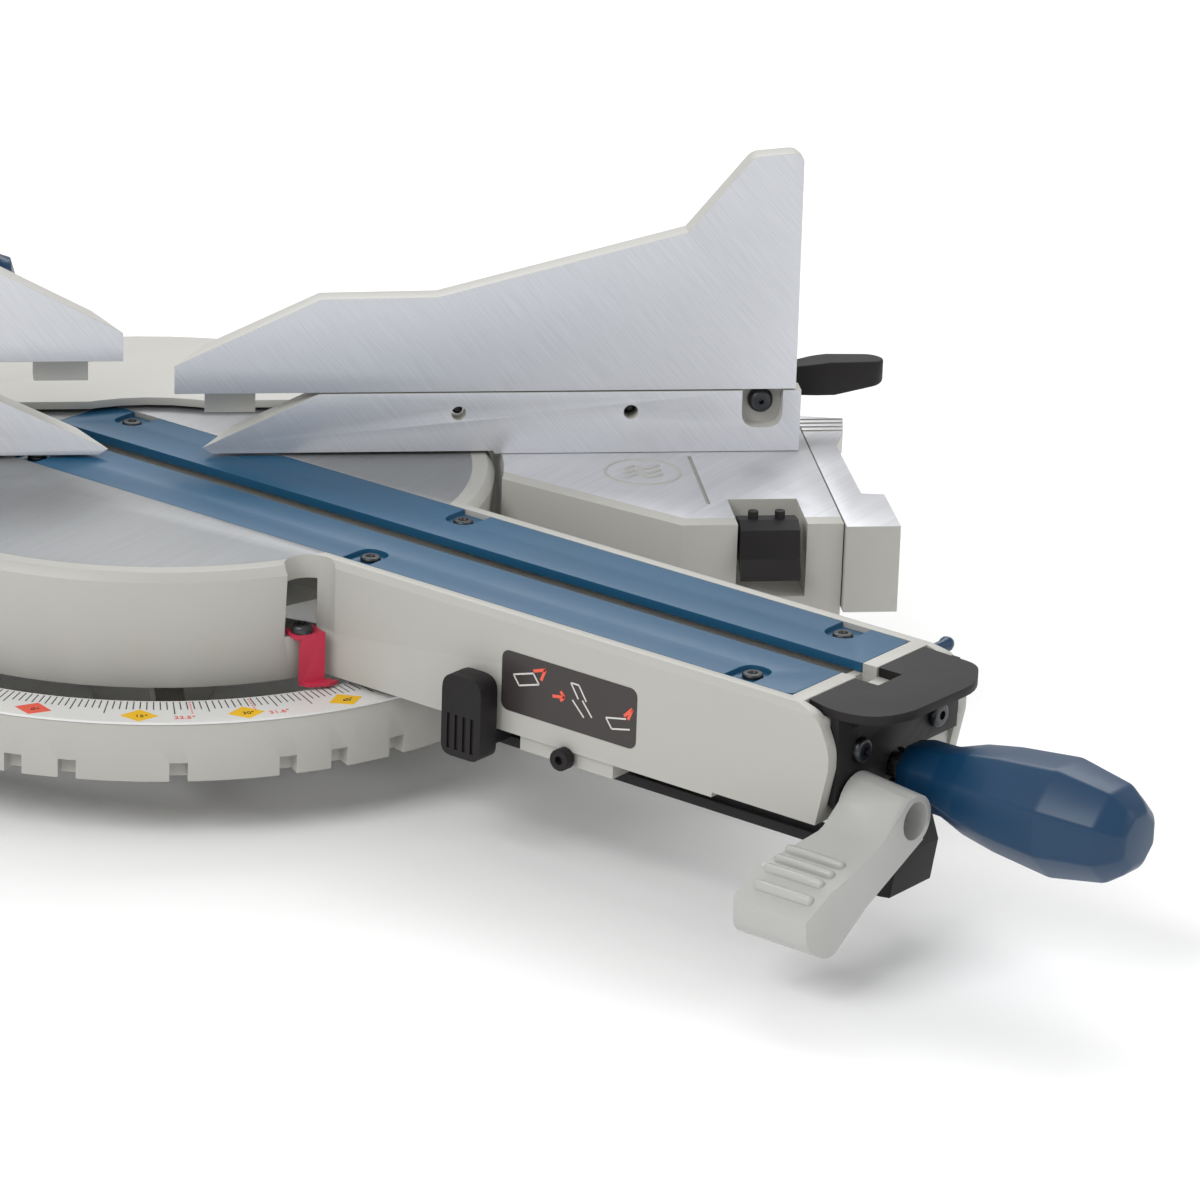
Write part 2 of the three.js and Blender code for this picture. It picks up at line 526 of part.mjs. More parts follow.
// ---------------------------------------------------------------- arm front: cap, knob and levers
function frontCap() {
  const rim = -ARM_RIM;
  const wall = -ARM_FRONT;
  const plan = outline([[-38, rim - 1], [-42, rim - 15, 9], [-38, rim - 31, 16], [-24, rim - 38, 14],
    [21, rim - 39, 8], [37.5, rim - 28, 6], [39, rim - 1]]);
  let cap = prismZ(plan, T - 4, T - 0.3);
  const panel = [[-40.6, T - 1], [-40.6, T - 40], [-ARM_HALF + 13, T - 46], [10, T - 46],
    [19, capPanelBottom], [40.6, capPanelBottom], [40.6, T - 1]];
  cap = cap.add(prismY(panel, wall - 4, wall - 0.1));
  const wedge = [[wall, T - 14], [wall - 14, T - 2], [wall, T - 2]];
  cap = cap.add(prismX(wedge, -30, -25)).add(prismX(wedge, 25, 30));
  cap = cap.subtract(box(-8, 8, rim - 12, rim, T - 5, T + 1));
  for (const x of [-25.8, 25.8]) {
    cap = cap.subtract(cylinderY(2.4, x, T - 20.5, wall - 6, wall + 1, 12));
  }
  cap = cap.subtract(cylinderY(7.5, 0, T - KNOB_DROP, wall - 6, wall + 1, 32));
  return cap.subtract(cylinderY(7.5, -LEVER_SIDE, T - LEVER_DROP, wall - 6, wall + 1, 24));
}

addPiece(arm, 'front_cap', frontCap(), blackPlastic);

// The knob is turned with eight flats, then waisted behind the flats.
const knobStart = ARM_FRONT + 11;

function mitreKnob() {
  const reach = knobStart + KNOB_LENGTH;
  return turnedY([[0, -reach], [10, -reach + 1.5], [19.5, -reach + 9], [KNOB_R, -reach + 34],
    [18.5, -knobStart - 30],
    [14.5, -knobStart - 20], [14.2, -knobStart - 8], [12.5, -knobStart], [5 + 2 * GAP, -knobStart],
    [5 + 2 * GAP, -knobStart - 24], [0, -knobStart - 24]], 8)
    .rotate([0, 22.5, 0]).translate([0, 0, T - KNOB_DROP]);
}

addPiece(arm, 'mitre_lock_knob', mitreKnob(), knobBlue);
addPiece(arm, 'mitre_lock_rod', cylinderY(5, 0, T - KNOB_DROP, -knobStart - 22, -188, 16), steel);
addPiece(arm, 'mitre_clamp_shoe', box(-9, 9, -187, -RING_OUTER - 1.2, T - 70, T - 28), steel);

// The bevel lever: a hub on the arm's front wall and a broad paddle hanging down to the left.
const leverBack = ARM_FRONT + 5;
const leverFront = ARM_FRONT + 33;

function bevelLever() {
  const hubX = -LEVER_SIDE;
  const hubZ = T - LEVER_DROP;
  const reach = (share, lift) => [hubX - share * LEVER_LENGTH, hubZ - lift];
  const side = outline([[hubX - 4, hubZ + 10.5], reach(0.35, 3), reach(0.62, 9), reach(0.85, 13),
    reach(1.05, 23, 0),
    [...reach(1.04, 35), 5], [...reach(0.86, 42), 5], reach(0.5, 27), [hubX + 6, hubZ - 9.5]]);
  let lever = prismY(side, -leverFront, -leverBack + 12);
  const plan = outline([[hubX + 14, -leverFront], [hubX + 14, -leverBack], [hubX - 25, -leverBack],
    [hubX - 45, -leverBack + 7, 8], [hubX - 68, -leverBack + 12, 8], [hubX - 70, -leverFront + 4, 8],
    [hubX - 50, -leverFront]]);
  lever = lever.intersect(prismZ(plan, 0, T));
  lever = lever.add(turnedY([[0, -leverFront], [10.5, -leverFront], [13, -leverBack], [0, -leverBack]], 32)
    .translate([hubX, 0, hubZ]));
  lever = lever.subtract(cylinderY(7.8, hubX, hubZ, -leverFront - 1, -leverFront + 12, 24));
  return lever.subtract(cylinderY(5 + GAP, hubX, hubZ, -leverBack - 10, -leverBack + 14, 16));
}

addPiece(arm, 'bevel_lock_lever', bevelLever(), leverGrey);
addPiece(arm, 'bevel_lock_rod', cylinderY(5, -LEVER_SIDE, T - LEVER_DROP, -leverBack - 9, -150, 16), steel);

// A long rocker under the arm: a tooth at the ring and a finger tab under the cap.
function detentLever() {
  const z0 = armBottom - 7.5;
  const front = -ARM_FRONT;
  const tooth = box(11, 19, front - 4, -RING_OUTER - 1.4, z0 - 4.5, z0 + 4);
  const tab = prismX(outline([[front, z0], [front - 8, z0 + 2], [front - 13, z0 - 12],
    [front - 10, z0 - 30], [front - 2, z0 - 31, 3], [front + 1, z0 - 14]]), -9, 19);
  const bridge = box(-34, 12, front - 4, front + 1, z0 - 4.5, z0);
  const rail = box(-34, -22, front - 4, -196, z0 - 4.5, z0);
  return tooth.add(tab).add(bridge).add(rail);
}

addPiece(arm, 'detent_lever', detentLever(), blackPlastic);

function detentPad() {
  const front = outline([[-228, T - 60, 5], [-208, T - 60, 5], [-208, T - 25, 7], [-228, T - 25, 7]]);
  let pad = prismX(front, -61, -50.5, 5);
  pad = pad.add(box(-52, -36, -224, -212, T - 56.5, T - 51.5));
  for (let i = 0; i < 4; i += 1) {
    const y = -224.5 + i * 4;
    pad = pad.subtract(box(-62, -60, y, y + 1.6, T - 57, T - 42));
  }
  return pad;
}

addPiece(arm, 'detent_pad', detentPad(), blackPlastic);
addPiece(arm, 'stop_screw', turnedX([[0, -51.5], [4.4, -51.5], [4.6, -51], [4.6, -47], [2.5, -47],
  [2.5, -39],
  [0, -39]], 16).subtract(cylinderX(2, 0, 0, -53, -49, 6)).translate([0, -260.6, T - 52.3]), blackPlastic);
addPiece(arm, 'bevel_range_pin', turnedX([[0, 42], [2.4, 42], [2.4, 57], [3.4, 60], [2, 63], [0, 63.5]], 14)
  .translate([0, -ARM_RIM + 3, T - 6]), knobBlue);

function pointerSolid() {
  const r0 = TABLE_R + 0.6;
  const bracket = box(-6, 7, -r0 - 3.5, -r0 + 6.5, T - 30.6, T - 28.8)
    .add(box(-3.5, 7.5, -r0 - 3.5, -r0 - 1.4, T - 49.5, T - 29));
  const foot = prismZ([[-3.5, -r0 - 1.6], [-1, -r0 - 6], [7.5, -r0 - 8], [12, -r0 - 6.5], [7.5, -r0 - 1.6]],
    T - 51, T - 49.4);
  return bracket.add(foot).subtract(cylinderZ(2.4, -1, -pocketR - 0.5, T - 32, T - 28, 12))
    .rotate([0, 0, pointerAngle]);
}

addPiece(arm, 'mitre_pointer', pointerSolid(), redPlastic);

// ---------------------------------------------------------------- bevel yoke
const hinge = new THREE.Vector3(0, HINGE_BACK, T + HINGE_UP);
const yokeFront = TRUNNION_Y + GAP;
const yokeHalf = 34;
const slotHalf = 20;
const barrelR = 24;
const pinR = 8;

function bevelYoke() {
  const post = prismX(outline([[yokeFront + 3, T - 34], [205, T - 34, 6], [205, T + 25], [232, T + 90],
    [241, T + 150],
    [241, T + 200], [189, T + 200], [186, T + 150], [yokeFront + 3, T + 60]]), -yokeHalf, yokeHalf);
  const plate = cylinderY(TRUNNION_R - 1, 0, T, yokeFront, yokeFront + 14, 48);
  let yoke = post.add(plate).add(cylinderX(26, HINGE_BACK, T + HINGE_UP, -yokeHalf, yokeHalf, 32));
  yoke = yoke.subtract(box(-slotHalf, slotHalf, 150, 260, T + 165, T + 240));
  yoke = yoke.subtract(box(-yokeHalf + 7, yokeHalf - 7, 198, 250, T + 35, T + 157));
  yoke = yoke.subtract(cylinderX(pinR + GAP, HINGE_BACK, T + HINGE_UP, -40, 40, 24));
  yoke = yoke.subtract(cylinderX(5 + GAP, 203, T + 170.5, 15, 40, 16));
  return yoke.subtract(cylinderY(pinR + GAP, 0, T, 160, 210, 24));
}

addPiece(arm, 'bevel_yoke', bevelYoke(), paint);
addPiece(arm, 'bevel_bolt', turnedY([[0, 152], [pinR, 152], [pinR, 205.4], [14, 205.4], [14, 214],
  [12, 216], [0, 216]], 24)
  .translate([0, 0, T]), steel);
addPiece(arm, 'hinge_pin', turnedX([[0, -39], [11, -39], [11, -yokeHalf - GAP],
  [pinR - 0.2, -yokeHalf - GAP],
  [pinR - 0.2, 38], [0, 38]], 24).translate([0, HINGE_BACK, T + HINGE_UP]), steel);
addPiece(arm, 'lockdown_pin', turnedX([[0, 21], [5, 21], [5, 42], [9, 42], [9, 52], [7, 54], [0, 54]], 16)
  .translate([0, 203, T + 170.5]), knobBlue);

// ---------------------------------------------------------------- saw head
// Drawn with the head down, around the chop hinge, then raised to its rest.
const head = new THREE.Group();
head.position.copy(hinge);
head.rotation.x = -THREE.MathUtils.degToRad(CHOP_RAISE);
arm.add(head);

const arborY = -ARBOR_AHEAD;
const arborZ = -ARBOR_BELOW;
const motorY = arborY + MOTOR_BACK;
const motorZ = arborZ + MOTOR_UP;
const springFrom = 7;
const beam = [[2, 23], [-90, 38], [-150, 44], [-150, -70], [-85, -45], [-12, -21]];

function headCasting() {
  const cavity = cylinderX(GUARD_R - 4, arborY, arborZ, -GUARD_HALF + 2.5, GUARD_HALF - 2.5, 48);
  let body = cylinderX(GUARD_R, arborY, arborZ, -GUARD_HALF, GUARD_HALF, 48);
  body = body.add(prismX(beam, -14, 14)).subtract(cavity);
  body = body.subtract(box(-30, 30, -500, -70, -400, arborZ - 45));
  body = body.add(cylinderX(barrelR, 0, 0, -slotHalf + GAP, springFrom - 1, 32));
  body = body.subtract(cylinderX(pinR + GAP, 0, 0, -30, 30, 24));
  body = body.subtract(box(springFrom - 1, 30, -27, 30, -30, 30));
  body = body.add(cylinderX(37.5, arborY, arborZ, 9, GUARD_HALF - 1, 36));
  body = body.subtract(cylinderX(21, arborY, arborZ, -30, 0, 24));
  return body.subtract(cylinderX(10 + GAP, arborY, arborZ, 0, 30, 24));
}

addPiece(head, 'head_casting', headCasting(), paint);
addPiece(head, 'return_spring', turnedX([[9.2, springFrom], [13, springFrom], [13, slotHalf - 1],
  [9.2, slotHalf - 1],
  [9.2, springFrom]], 24), steel);

const hubs = [[arborY, arborZ], [motorY, motorZ]];
const driveX0 = GUARD_HALF + GAP;
const driveX1 = 44;

function driveHousing() {
  const outer = prismX(bandOutline(hubs[0], 40, hubs[1], 31), driveX0, driveX1, 12);
  const inner = prismX(bandOutline(hubs[0], 36.5, hubs[1], 27.5), driveX0 - 1, driveX1 - 4, 12);
  return outer.subtract(inner)
    .subtract(cylinderX(6, motorY, motorZ, 30, 50, 20))
    .subtract(cylinderX(10 + GAP, arborY, arborZ, 30, driveX1 - 2, 20));
}

addPiece(head, 'drive_housing', driveHousing(), paint);
addPiece(head, 'arbor_pulley', turnedX([[10 + GAP, 22.6], [30, 22.6], [30, 37], [10 + GAP, 37],
  [10 + GAP, 22.6]], 32)
  .translate([0, arborY, arborZ]), steel);
const beltOuter = prismX(bandOutline(hubs[0], 33.4, hubs[1], 16.4), 24, 36, 10);
const beltInner = prismX(bandOutline(hubs[0], 30 + GAP, hubs[1], 13 + GAP), 23, 37, 10);
addPiece(head, 'drive_belt', beltOuter.subtract(beltInner), rubber);

const motorX0 = driveX1 + 0.3;
const motorX1 = motorX0 + MOTOR_LENGTH;
const atMotor = (solid) => solid.translate([0, motorY, motorZ]);

function motorHousing() {
  let can = turnedX([[6, motorX0], [MOTOR_R - 3, motorX0], [MOTOR_R, motorX0 + 4], [MOTOR_R, motorX1],
    [MOTOR_R - 3.5, motorX1], [MOTOR_R - 3.5, motorX0 + 4], [6, motorX0 + 4], [6, motorX0]], 28);
  for (const angle of [60, 240]) {
    can = can.subtract(cylinderY(6.4, motorX1 - 20, 0, MOTOR_R - 8, MOTOR_R + 4, 16).rotate([angle, 0, 0]));
  }
  return atMotor(can);
}

function motorEndCap() {
  let cap = turnedX([[0, motorX1 + 20], [26, motorX1 + 20], [MOTOR_R - 5, motorX1 + 14],
    [MOTOR_R, motorX1 + 0.3],
    [MOTOR_R - 4, motorX1 + 0.3], [MOTOR_R - 9, motorX1 + 11], [24, motorX1 + 16], [7, motorX1 + 16],
      [7, motorX1 + 10],
    [0, motorX1 + 10]].reverse(), 28);
  for (let i = 0; i < 10; i += 1) {
    cap = cap.subtract(box(motorX1 + 4, motorX1 + 30, -2, 2, 28, 50).rotate([i * 36, 0, 0]));
  }
  return atMotor(cap);
}

addPiece(head, 'motor_housing', motorHousing(), blackPlastic);
addPiece(head, 'motor_end_cap', motorEndCap(), blackPlastic);
addPiece(head, 'motor_stator', atMotor(turnedX([[29, 68], [MOTOR_R - 4, 68], [MOTOR_R - 4, 116],
  [29, 116], [29, 68]], 20)), steel);
addPiece(head, 'motor_armature',
  atMotor(turnedX([[0, 23], [13, 23], [13, 37], [5.4, 37], [5.4, 70], [27, 70],
  [27, 114], [14, 114], [14, 138], [5.4, 138], [5.4, motorX1 + 9], [0, motorX1 + 9]], 16)), steel);
const gland = turnedY([[0, MOTOR_R - 3], [9, MOTOR_R - 3], [9, MOTOR_R + 8], [6, MOTOR_R + 26],
  [4, MOTOR_R + 26],
  [4, MOTOR_R + 12], [0, MOTOR_R + 12]], 16).translate([motorX0 + 22, 0, 0])
  .subtract(cylinderX(MOTOR_R + GAP, 0, 0, motorX0, motorX1, 28));
addPiece(head, 'cord_gland', atMotor(gland), rubber);

// Blade, flanges and arbor turn together.
function sawBlade() {
  const shape = new THREE.Shape();
  const pitch = (2 * Math.PI) / BLADE_TEETH;
  for (let i = 0; i < BLADE_TEETH; i += 1) {
    const a = i * pitch;
    const tip = [BLADE_R * Math.cos(a), BLADE_R * Math.sin(a)];
    const gullet = [(BLADE_R - 7) * Math.cos(a + 0.18 * pitch), (BLADE_R - 7) * Math.sin(a + 0.18 * pitch)];
    if (i === 0) shape.moveTo(...tip);
    else shape.lineTo(...tip);
    shape.lineTo(...gullet);
  }
  shape.closePath();
  return prismX(shape, -BLADE_THICK / 2, BLADE_THICK / 2)
    .subtract(cylinderX(12.7, 0, 0, -5, 5, 24)).translate([0, arborY, arborZ]);
}

const flangeX = BLADE_THICK / 2 + 0.3;
const atArbor = (solid) => solid.translate([0, arborY, arborZ]);
addPiece(head, 'saw_blade', sawBlade(), machined);
addPiece(head, 'arbor_shaft', atArbor(turnedX([[0, 20], [6.4, 20], [6.4, -flangeX], [12.3, -flangeX],
  [12.3, flangeX],
  [23, flangeX], [23, 8.6], [10, 8.6], [10, 41.6], [0, 41.6]], 28)), steel);
addPiece(head, 'outer_flange', atArbor(turnedX([[6.4, -7], [21, -7], [23, -5], [23, -flangeX - 0.3],
  [6.4, -flangeX - 0.3],
  [6.4, -7]], 28)), steel);
addPiece(head, 'arbor_bolt', atArbor(turnedX([[0, -14], [8, -14], [8, -7.3], [6, -7.3], [6, 18],
  [0, 18]], 16)
  .subtract(cylinderX(3.4, 0, 0, -16, -10, 6))), steel);

// The lower guard turns about the arbor inside the fixed guard.
const lowerGuardR = GUARD_R - 8;

function lowerGuard() {
  const sector = new THREE.Shape();
  const angle = (degrees) => THREE.MathUtils.degToRad(180 - degrees);
  const [from, to] = [-170, -10];
  sector.moveTo(0, 0);
  sector.absarc(0, 0, 200, angle(to), angle(from), false);
  sector.closePath();
  let guard = cylinderX(lowerGuardR, 0, 0, -11.5, 11.5, 48)
    .subtract(cylinderX(lowerGuardR - 2.5, 0, 0, -9.5, 9.5, 48));
  guard = guard.intersect(prismX(sector, -20, 20, 24));
  guard = guard.subtract(cylinderX(50, 0, 0, -20, 20, 32));
  return atArbor(guard.add(cylinderX(54, 0, 0, 9.5, 11.5, 32)).subtract(cylinderX(38.2, 0, 0, 0, 20, 32)));
}

addPiece(head, 'lower_guard', lowerGuard(), blackPlastic);

// Handles, switch and dust port.
const saddle = cylinderX(GUARD_R + GAP, arborY, arborZ, -40, 40, 48);

function mainHandle() {
  const loop = outline([[-346, 70], [-392, 26], [-470, 16], [-500, 40], [-497, 98], [-455, 134],
    [-380, 130], [-335, 104]], 16);
  const finger = outline([[-388, 60], [-404, 50], [-462, 46], [-473, 60], [-469, 90], [-448, 106],
    [-392, 104]], 10);
  return prismX(loop, -15, 15).subtract(prismX(finger, -20, 20)).subtract(saddle)
    .subtract(box(-8 - GAP, 8 + GAP, -488, -466, 59.5, 86.5))
    .subtract(cylinderX(6 + GAP, -428, 119, -20, -6, 16));
}

addPiece(head, 'main_handle', mainHandle(), blackPlastic);
addPiece(head, 'trigger', prismX(outline([[-480, 60], [-463, 62, 4], [-460, 74, 4], [-463, 85, 4],
  [-480, 86]]), -8, 8), knobBlue);
addPiece(head, 'lock_off_button', turnedX([[0, -20], [4.5, -20], [6, -18.5], [6, -10], [0, -10]], 16)
  .translate([0, -428, 119]), knobBlue);

const carryTop = 150;           // top of the carrying handle above the chop hinge, head down
const carryArch = outline([[-312, 60], [-302, carryTop, 14], [-188, carryTop, 14], [-178, 60]]);
const carryHole = outline([[-296, 60], [-289, carryTop - 12, 8], [-201, carryTop - 12, 8], [-194, 60]]);
addPiece(head, 'carry_handle', prismX(carryArch, -11, 11).subtract(prismX(carryHole, -20, 20))
  .subtract(saddle), blackPlastic);

const portTube = turnedY([[15.5, 0], [18, 0], [18, 84], [15.5, 84], [15.5, 0]], 28)
  .rotate([19, 0, 0]).translate([0, -130, 62]);
addPiece(head, 'dust_port', portTube.subtract(saddle)
  .subtract(prismX(beam.map(([y, z]) => [y, z + GAP]), -14 - GAP, 14 + GAP)),
  blackPlastic);

export default model;
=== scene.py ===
# %% [markdown]
# # A compound mitre saw
# The saw's solids come from its CAD model: every casting, joint and screw already stands where it
# belongs. This script gives those solids their look. It rounds the edges that a foundry or a mould
# would round, adds the small pieces that only matter to the eye (scale marks, screw heads, grip
# ribs), and makes each surface from what the real one is: enamelled castings, milled aluminium,
# moulded nylon. All lengths below are in millimetres until the last step of a piece.

# %% Load the saw and keep its box
import json
import math

import bmesh
import bpy
from mathutils import Matrix, Vector
from mathutils.bvhtree import BVHTree


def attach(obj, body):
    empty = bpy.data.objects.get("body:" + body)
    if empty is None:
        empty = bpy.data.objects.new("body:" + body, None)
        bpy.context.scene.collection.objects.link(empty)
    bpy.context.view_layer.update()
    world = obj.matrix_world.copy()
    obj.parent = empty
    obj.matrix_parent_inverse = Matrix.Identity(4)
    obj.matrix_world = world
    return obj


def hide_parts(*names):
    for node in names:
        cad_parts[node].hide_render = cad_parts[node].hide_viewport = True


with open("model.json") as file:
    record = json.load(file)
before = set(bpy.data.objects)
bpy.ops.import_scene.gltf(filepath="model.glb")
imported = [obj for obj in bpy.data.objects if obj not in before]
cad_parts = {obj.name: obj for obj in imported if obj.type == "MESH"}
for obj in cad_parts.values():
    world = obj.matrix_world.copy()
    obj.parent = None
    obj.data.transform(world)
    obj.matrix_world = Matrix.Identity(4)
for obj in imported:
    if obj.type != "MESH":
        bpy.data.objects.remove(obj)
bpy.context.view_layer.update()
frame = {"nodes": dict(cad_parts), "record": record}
nodes = frame["nodes"]

# %% [markdown]
# The saw is drawn from its mitre pivot. The arm is turned 45 degrees to the right, and the head is
# tipped back about its hinge. Two matrices take a length along the arm, or a place on the head, to
# the world in metres, so that each detail can be written down the way a fitter would measure it.

# %% Places on the saw
TABLE = 105.0                       # work surface above the bench
ARM_FRONT = 384.0                   # pivot to the arm's front wall
HINGE = Vector((0, 215, TABLE + 200))
CHOP_RAISE = 57.0
METRE = Matrix.Scale(0.001, 4)
base_place = METRE
arm_place = METRE @ Matrix.Rotation(math.radians(45), 4, "Z")
head_place = arm_place @ Matrix.Translation(HINGE) @ Matrix.Rotation(math.radians(-CHOP_RAISE), 4, "X")

# %% [markdown]
# The camera stands well back with a long lens, a little to the left of the pivot, and looks down
# about twenty degrees. The arm points towards it on the right. The picture is rolled slightly.

# %% Camera
LENS_MM = 193.1595
SENSOR_MM = 36.0
CAMERA_PLACE = (-0.15656, -2.57873, 0.90058 + TABLE * 0.001)
yaw, pitch, roll = 0.13443, 0.35601, 0.03401
look = Vector((math.sin(yaw) * math.cos(pitch), math.cos(yaw) * math.cos(pitch), -math.sin(pitch)))
level = Vector((math.cos(yaw), -math.sin(yaw), 0))
upright = level.cross(look)
side = level * math.cos(roll) + upright * math.sin(roll)
top = side.cross(look)
camera_data = bpy.data.cameras.new("camera")
camera_data.sensor_width = SENSOR_MM
camera_data.lens = LENS_MM
camera_data.clip_end = 50.0
camera = bpy.data.objects.new("camera", camera_data)
turn = Matrix((side, top, -look)).transposed().to_4x4()
camera.matrix_world = Matrix.Translation(CAMERA_PLACE) @ turn
bpy.context.scene.collection.objects.link(camera)
bpy.context.scene.camera = camera
print("lens", round(camera_data.lens, 1), "mm")

# %% [markdown]
# Bare metal and enamel show their shape by what they reflect. Three broad soft panels and a pale
# room do that: a wide one above and behind draws the light line along each top edge, a large one at
# the left front lights the faces, and a weak one at the right keeps the shadows open.

# %% Room and lights
ROOM_STRENGTH = 0.66


def soft_panel(name, place, target, size, power):
    data = bpy.data.lights.new(name, "AREA")
    data.shape = "RECTANGLE"
    data.size, data.size_y = size
    data.energy = power
    panel = bpy.data.objects.new(name, data)
    direction = Vector(target) - Vector(place)
    panel.matrix_world = Matrix.Translation(place) @ direction.to_track_quat("-Z", "Y").to_matrix().to_4x4()
    bpy.context.scene.collection.objects.link(panel)


soft_panel("key_panel", (-1.5, -1.6, 2.2), (0.1, -0.1, 0.1), (1.8, 1.4), 40)
soft_panel("back_panel", (0.3, 1.7, 2.1), (0.1, -0.1, 0.1), (2.6, 1.2), 36)
soft_panel("fill_panel", (2.3, -1.0, 1.2), (0.2, -0.2, 0.1), (1.2, 1.2), 6)
world = bpy.data.worlds.new("pale_room")
world.use_nodes = True
world.node_tree.nodes["Background"].inputs["Color"].default_value = (1.0, 1.0, 1.0, 1.0)
world.node_tree.nodes["Background"].inputs["Strength"].default_value = ROOM_STRENGTH
bpy.context.scene.world = world
bpy.context.scene.view_settings.view_transform = "Standard"

# %% [markdown]
# Colours are written as the hex values one would pick on a screen, and turned to the linear values
# that light is reckoned in. One helper adds a node with its settings, values and links.

# %% Colour and node helpers
def hex_colour(code):
    parts = [int(code[i:i + 2], 16) / 255 for i in (1, 3, 5)]
    linear = [c / 12.92 if c <= 0.04045 else ((c + 0.055) / 1.055) ** 2.4 for c in parts]
    return (*linear, 1.0)


def add_node(material, kind, values=None, **settings):
    node = material.node_tree.nodes.new(kind)
    for key, value in settings.items():
        setattr(node, key, value)
    for key, value in (values or {}).items():
        if isinstance(value, bpy.types.NodeSocket):
            material.node_tree.links.new(value, node.inputs[key])
        else:
            node.inputs[key].default_value = value
    return node


def new_material(name):
    material = bpy.data.materials.new(name)
    material.use_nodes = True
    return material, material.node_tree.nodes["Principled BSDF"]


def connect(material, source, target):
    material.node_tree.links.new(source, target)


# %% [markdown]
# Moulded nylon and die-cast enamel differ mostly in grain and gloss. The nylon has a spark-eroded
# texture from its mould, about a millimetre across. Enamel flows out smooth and keeps only the
# slow waves of the casting under it. Both vary a little in tone, which noise in object space gives.

# %% Enamel and plastic finishes
def moulded_finish(name, colour, second, roughness, grain_mm, depth_mm, coat=0.0):
    """A dyed or painted surface: two close tones, a grain of a real size and its gloss."""
    material, surface = new_material(name)
    place = add_node(material, "ShaderNodeTexCoord").outputs["Object"]
    cloud = add_node(material, "ShaderNodeTexNoise", {"Vector": place, "Scale": 14.0, "Detail": 3.0})
    tone = add_node(material, "ShaderNodeMix", {0: cloud.outputs["Fac"], 6: hex_colour(colour),
                                                7: hex_colour(second)}, data_type="RGBA")
    connect(material, tone.outputs[2], surface.inputs["Base Color"])
    gloss = add_node(material, "ShaderNodeMapRange", {"Value": cloud.outputs["Fac"], "From Min": 0.3,
                                                      "From Max": 0.7, "To Min": roughness - 0.04,
                                                      "To Max": roughness + 0.05})
    connect(material, gloss.outputs["Result"], surface.inputs["Roughness"])
    grain = add_node(material, "ShaderNodeTexNoise", {"Vector": place, "Scale": 1000.0 / grain_mm,
                                                      "Detail": 2.0})
    relief = add_node(material, "ShaderNodeBump", {"Height": grain.outputs["Fac"], "Strength": 0.35,
                                                   "Distance": depth_mm * 0.001})
    connect(material, relief.outputs["Normal"], surface.inputs["Normal"])
    surface.inputs["IOR"].default_value = 1.46
    surface.inputs["Coat Weight"].default_value = coat
    return material


black_nylon = moulded_finish("moulded_black_nylon", "#1B191A", "#232021", 0.55, 1.1, 0.10)
black_nylon.node_tree.nodes["Principled BSDF"].inputs["Specular IOR Level"].default_value = 0.3
blue_nylon = moulded_finish("moulded_blue_kerf_plate", "#174C6C", "#1C5678", 0.42, 1.2, 0.05)
knob_plastic = moulded_finish("smooth_dark_blue_plastic", "#062F4E", "#0A3A5B", 0.34, 3.0, 0.02)
lever_enamel = moulded_finish("light_grey_enamel", "#ACACA9", "#B4B4B1", 0.32, 5.0, 0.03, 0.2)
pointer_plastic = moulded_finish("red_pointer_plastic", "#B32340", "#C4304C", 0.35, 3.0, 0.02)
belt_rubber = moulded_finish("black_rubber", "#1C1C1D", "#242425", 0.8, 1.0, 0.08)
label_ground = moulded_finish("dark_label_film", "#332E2D", "#3A3534", 0.35, 4.0, 0.01)

# %% [markdown]
# Bright steel is turned or plated: a grey metal, fairly smooth, with faint marks. The saw blade is
# ground, so it is a little finer. Neither needs colour noise; a little change of gloss is enough.

# %% Steel
def metal_finish(name, colour, roughness, grain_mm=2.0, depth_mm=0.02):
    """Bare metal: one colour, with small patches of more and less gloss."""
    material, surface = new_material(name)
    surface.inputs["Base Color"].default_value = hex_colour(colour)
    surface.inputs["Metallic"].default_value = 1.0
    place = add_node(material, "ShaderNodeTexCoord").outputs["Object"]
    patch = add_node(material, "ShaderNodeTexNoise", {"Vector": place, "Scale": 1000.0 / grain_mm,
                                                      "Detail": 3.0})
    gloss = add_node(material, "ShaderNodeMapRange", {"Value": patch.outputs["Fac"],
                                                      "To Min": roughness - 0.1, "To Max": roughness + 0.1})
    connect(material, gloss.outputs["Result"], surface.inputs["Roughness"])
    relief = add_node(material, "ShaderNodeBump", {"Height": patch.outputs["Fac"], "Strength": 0.3,
                                                   "Distance": depth_mm * 0.001})
    connect(material, relief.outputs["Normal"], surface.inputs["Normal"])
    return material


bright_steel = metal_finish("turned_bright_steel", "#A9ABAE", 0.3)
dark_screw = metal_finish("blackened_screw_steel", "#4A4B4D", 0.38)
ground_blade = metal_finish("ground_saw_steel", "#B9BBBE", 0.32, 3.0, 0.01)

# %% [markdown]
# The castings are enamelled first and milled afterwards, so the paint stops where the cutter passed:
# on the table tops and on the fence faces. One material carries both. A mask, read from the place on
# the piece, says which is which, and the bare metal has fine cutter lines that run at a slant.

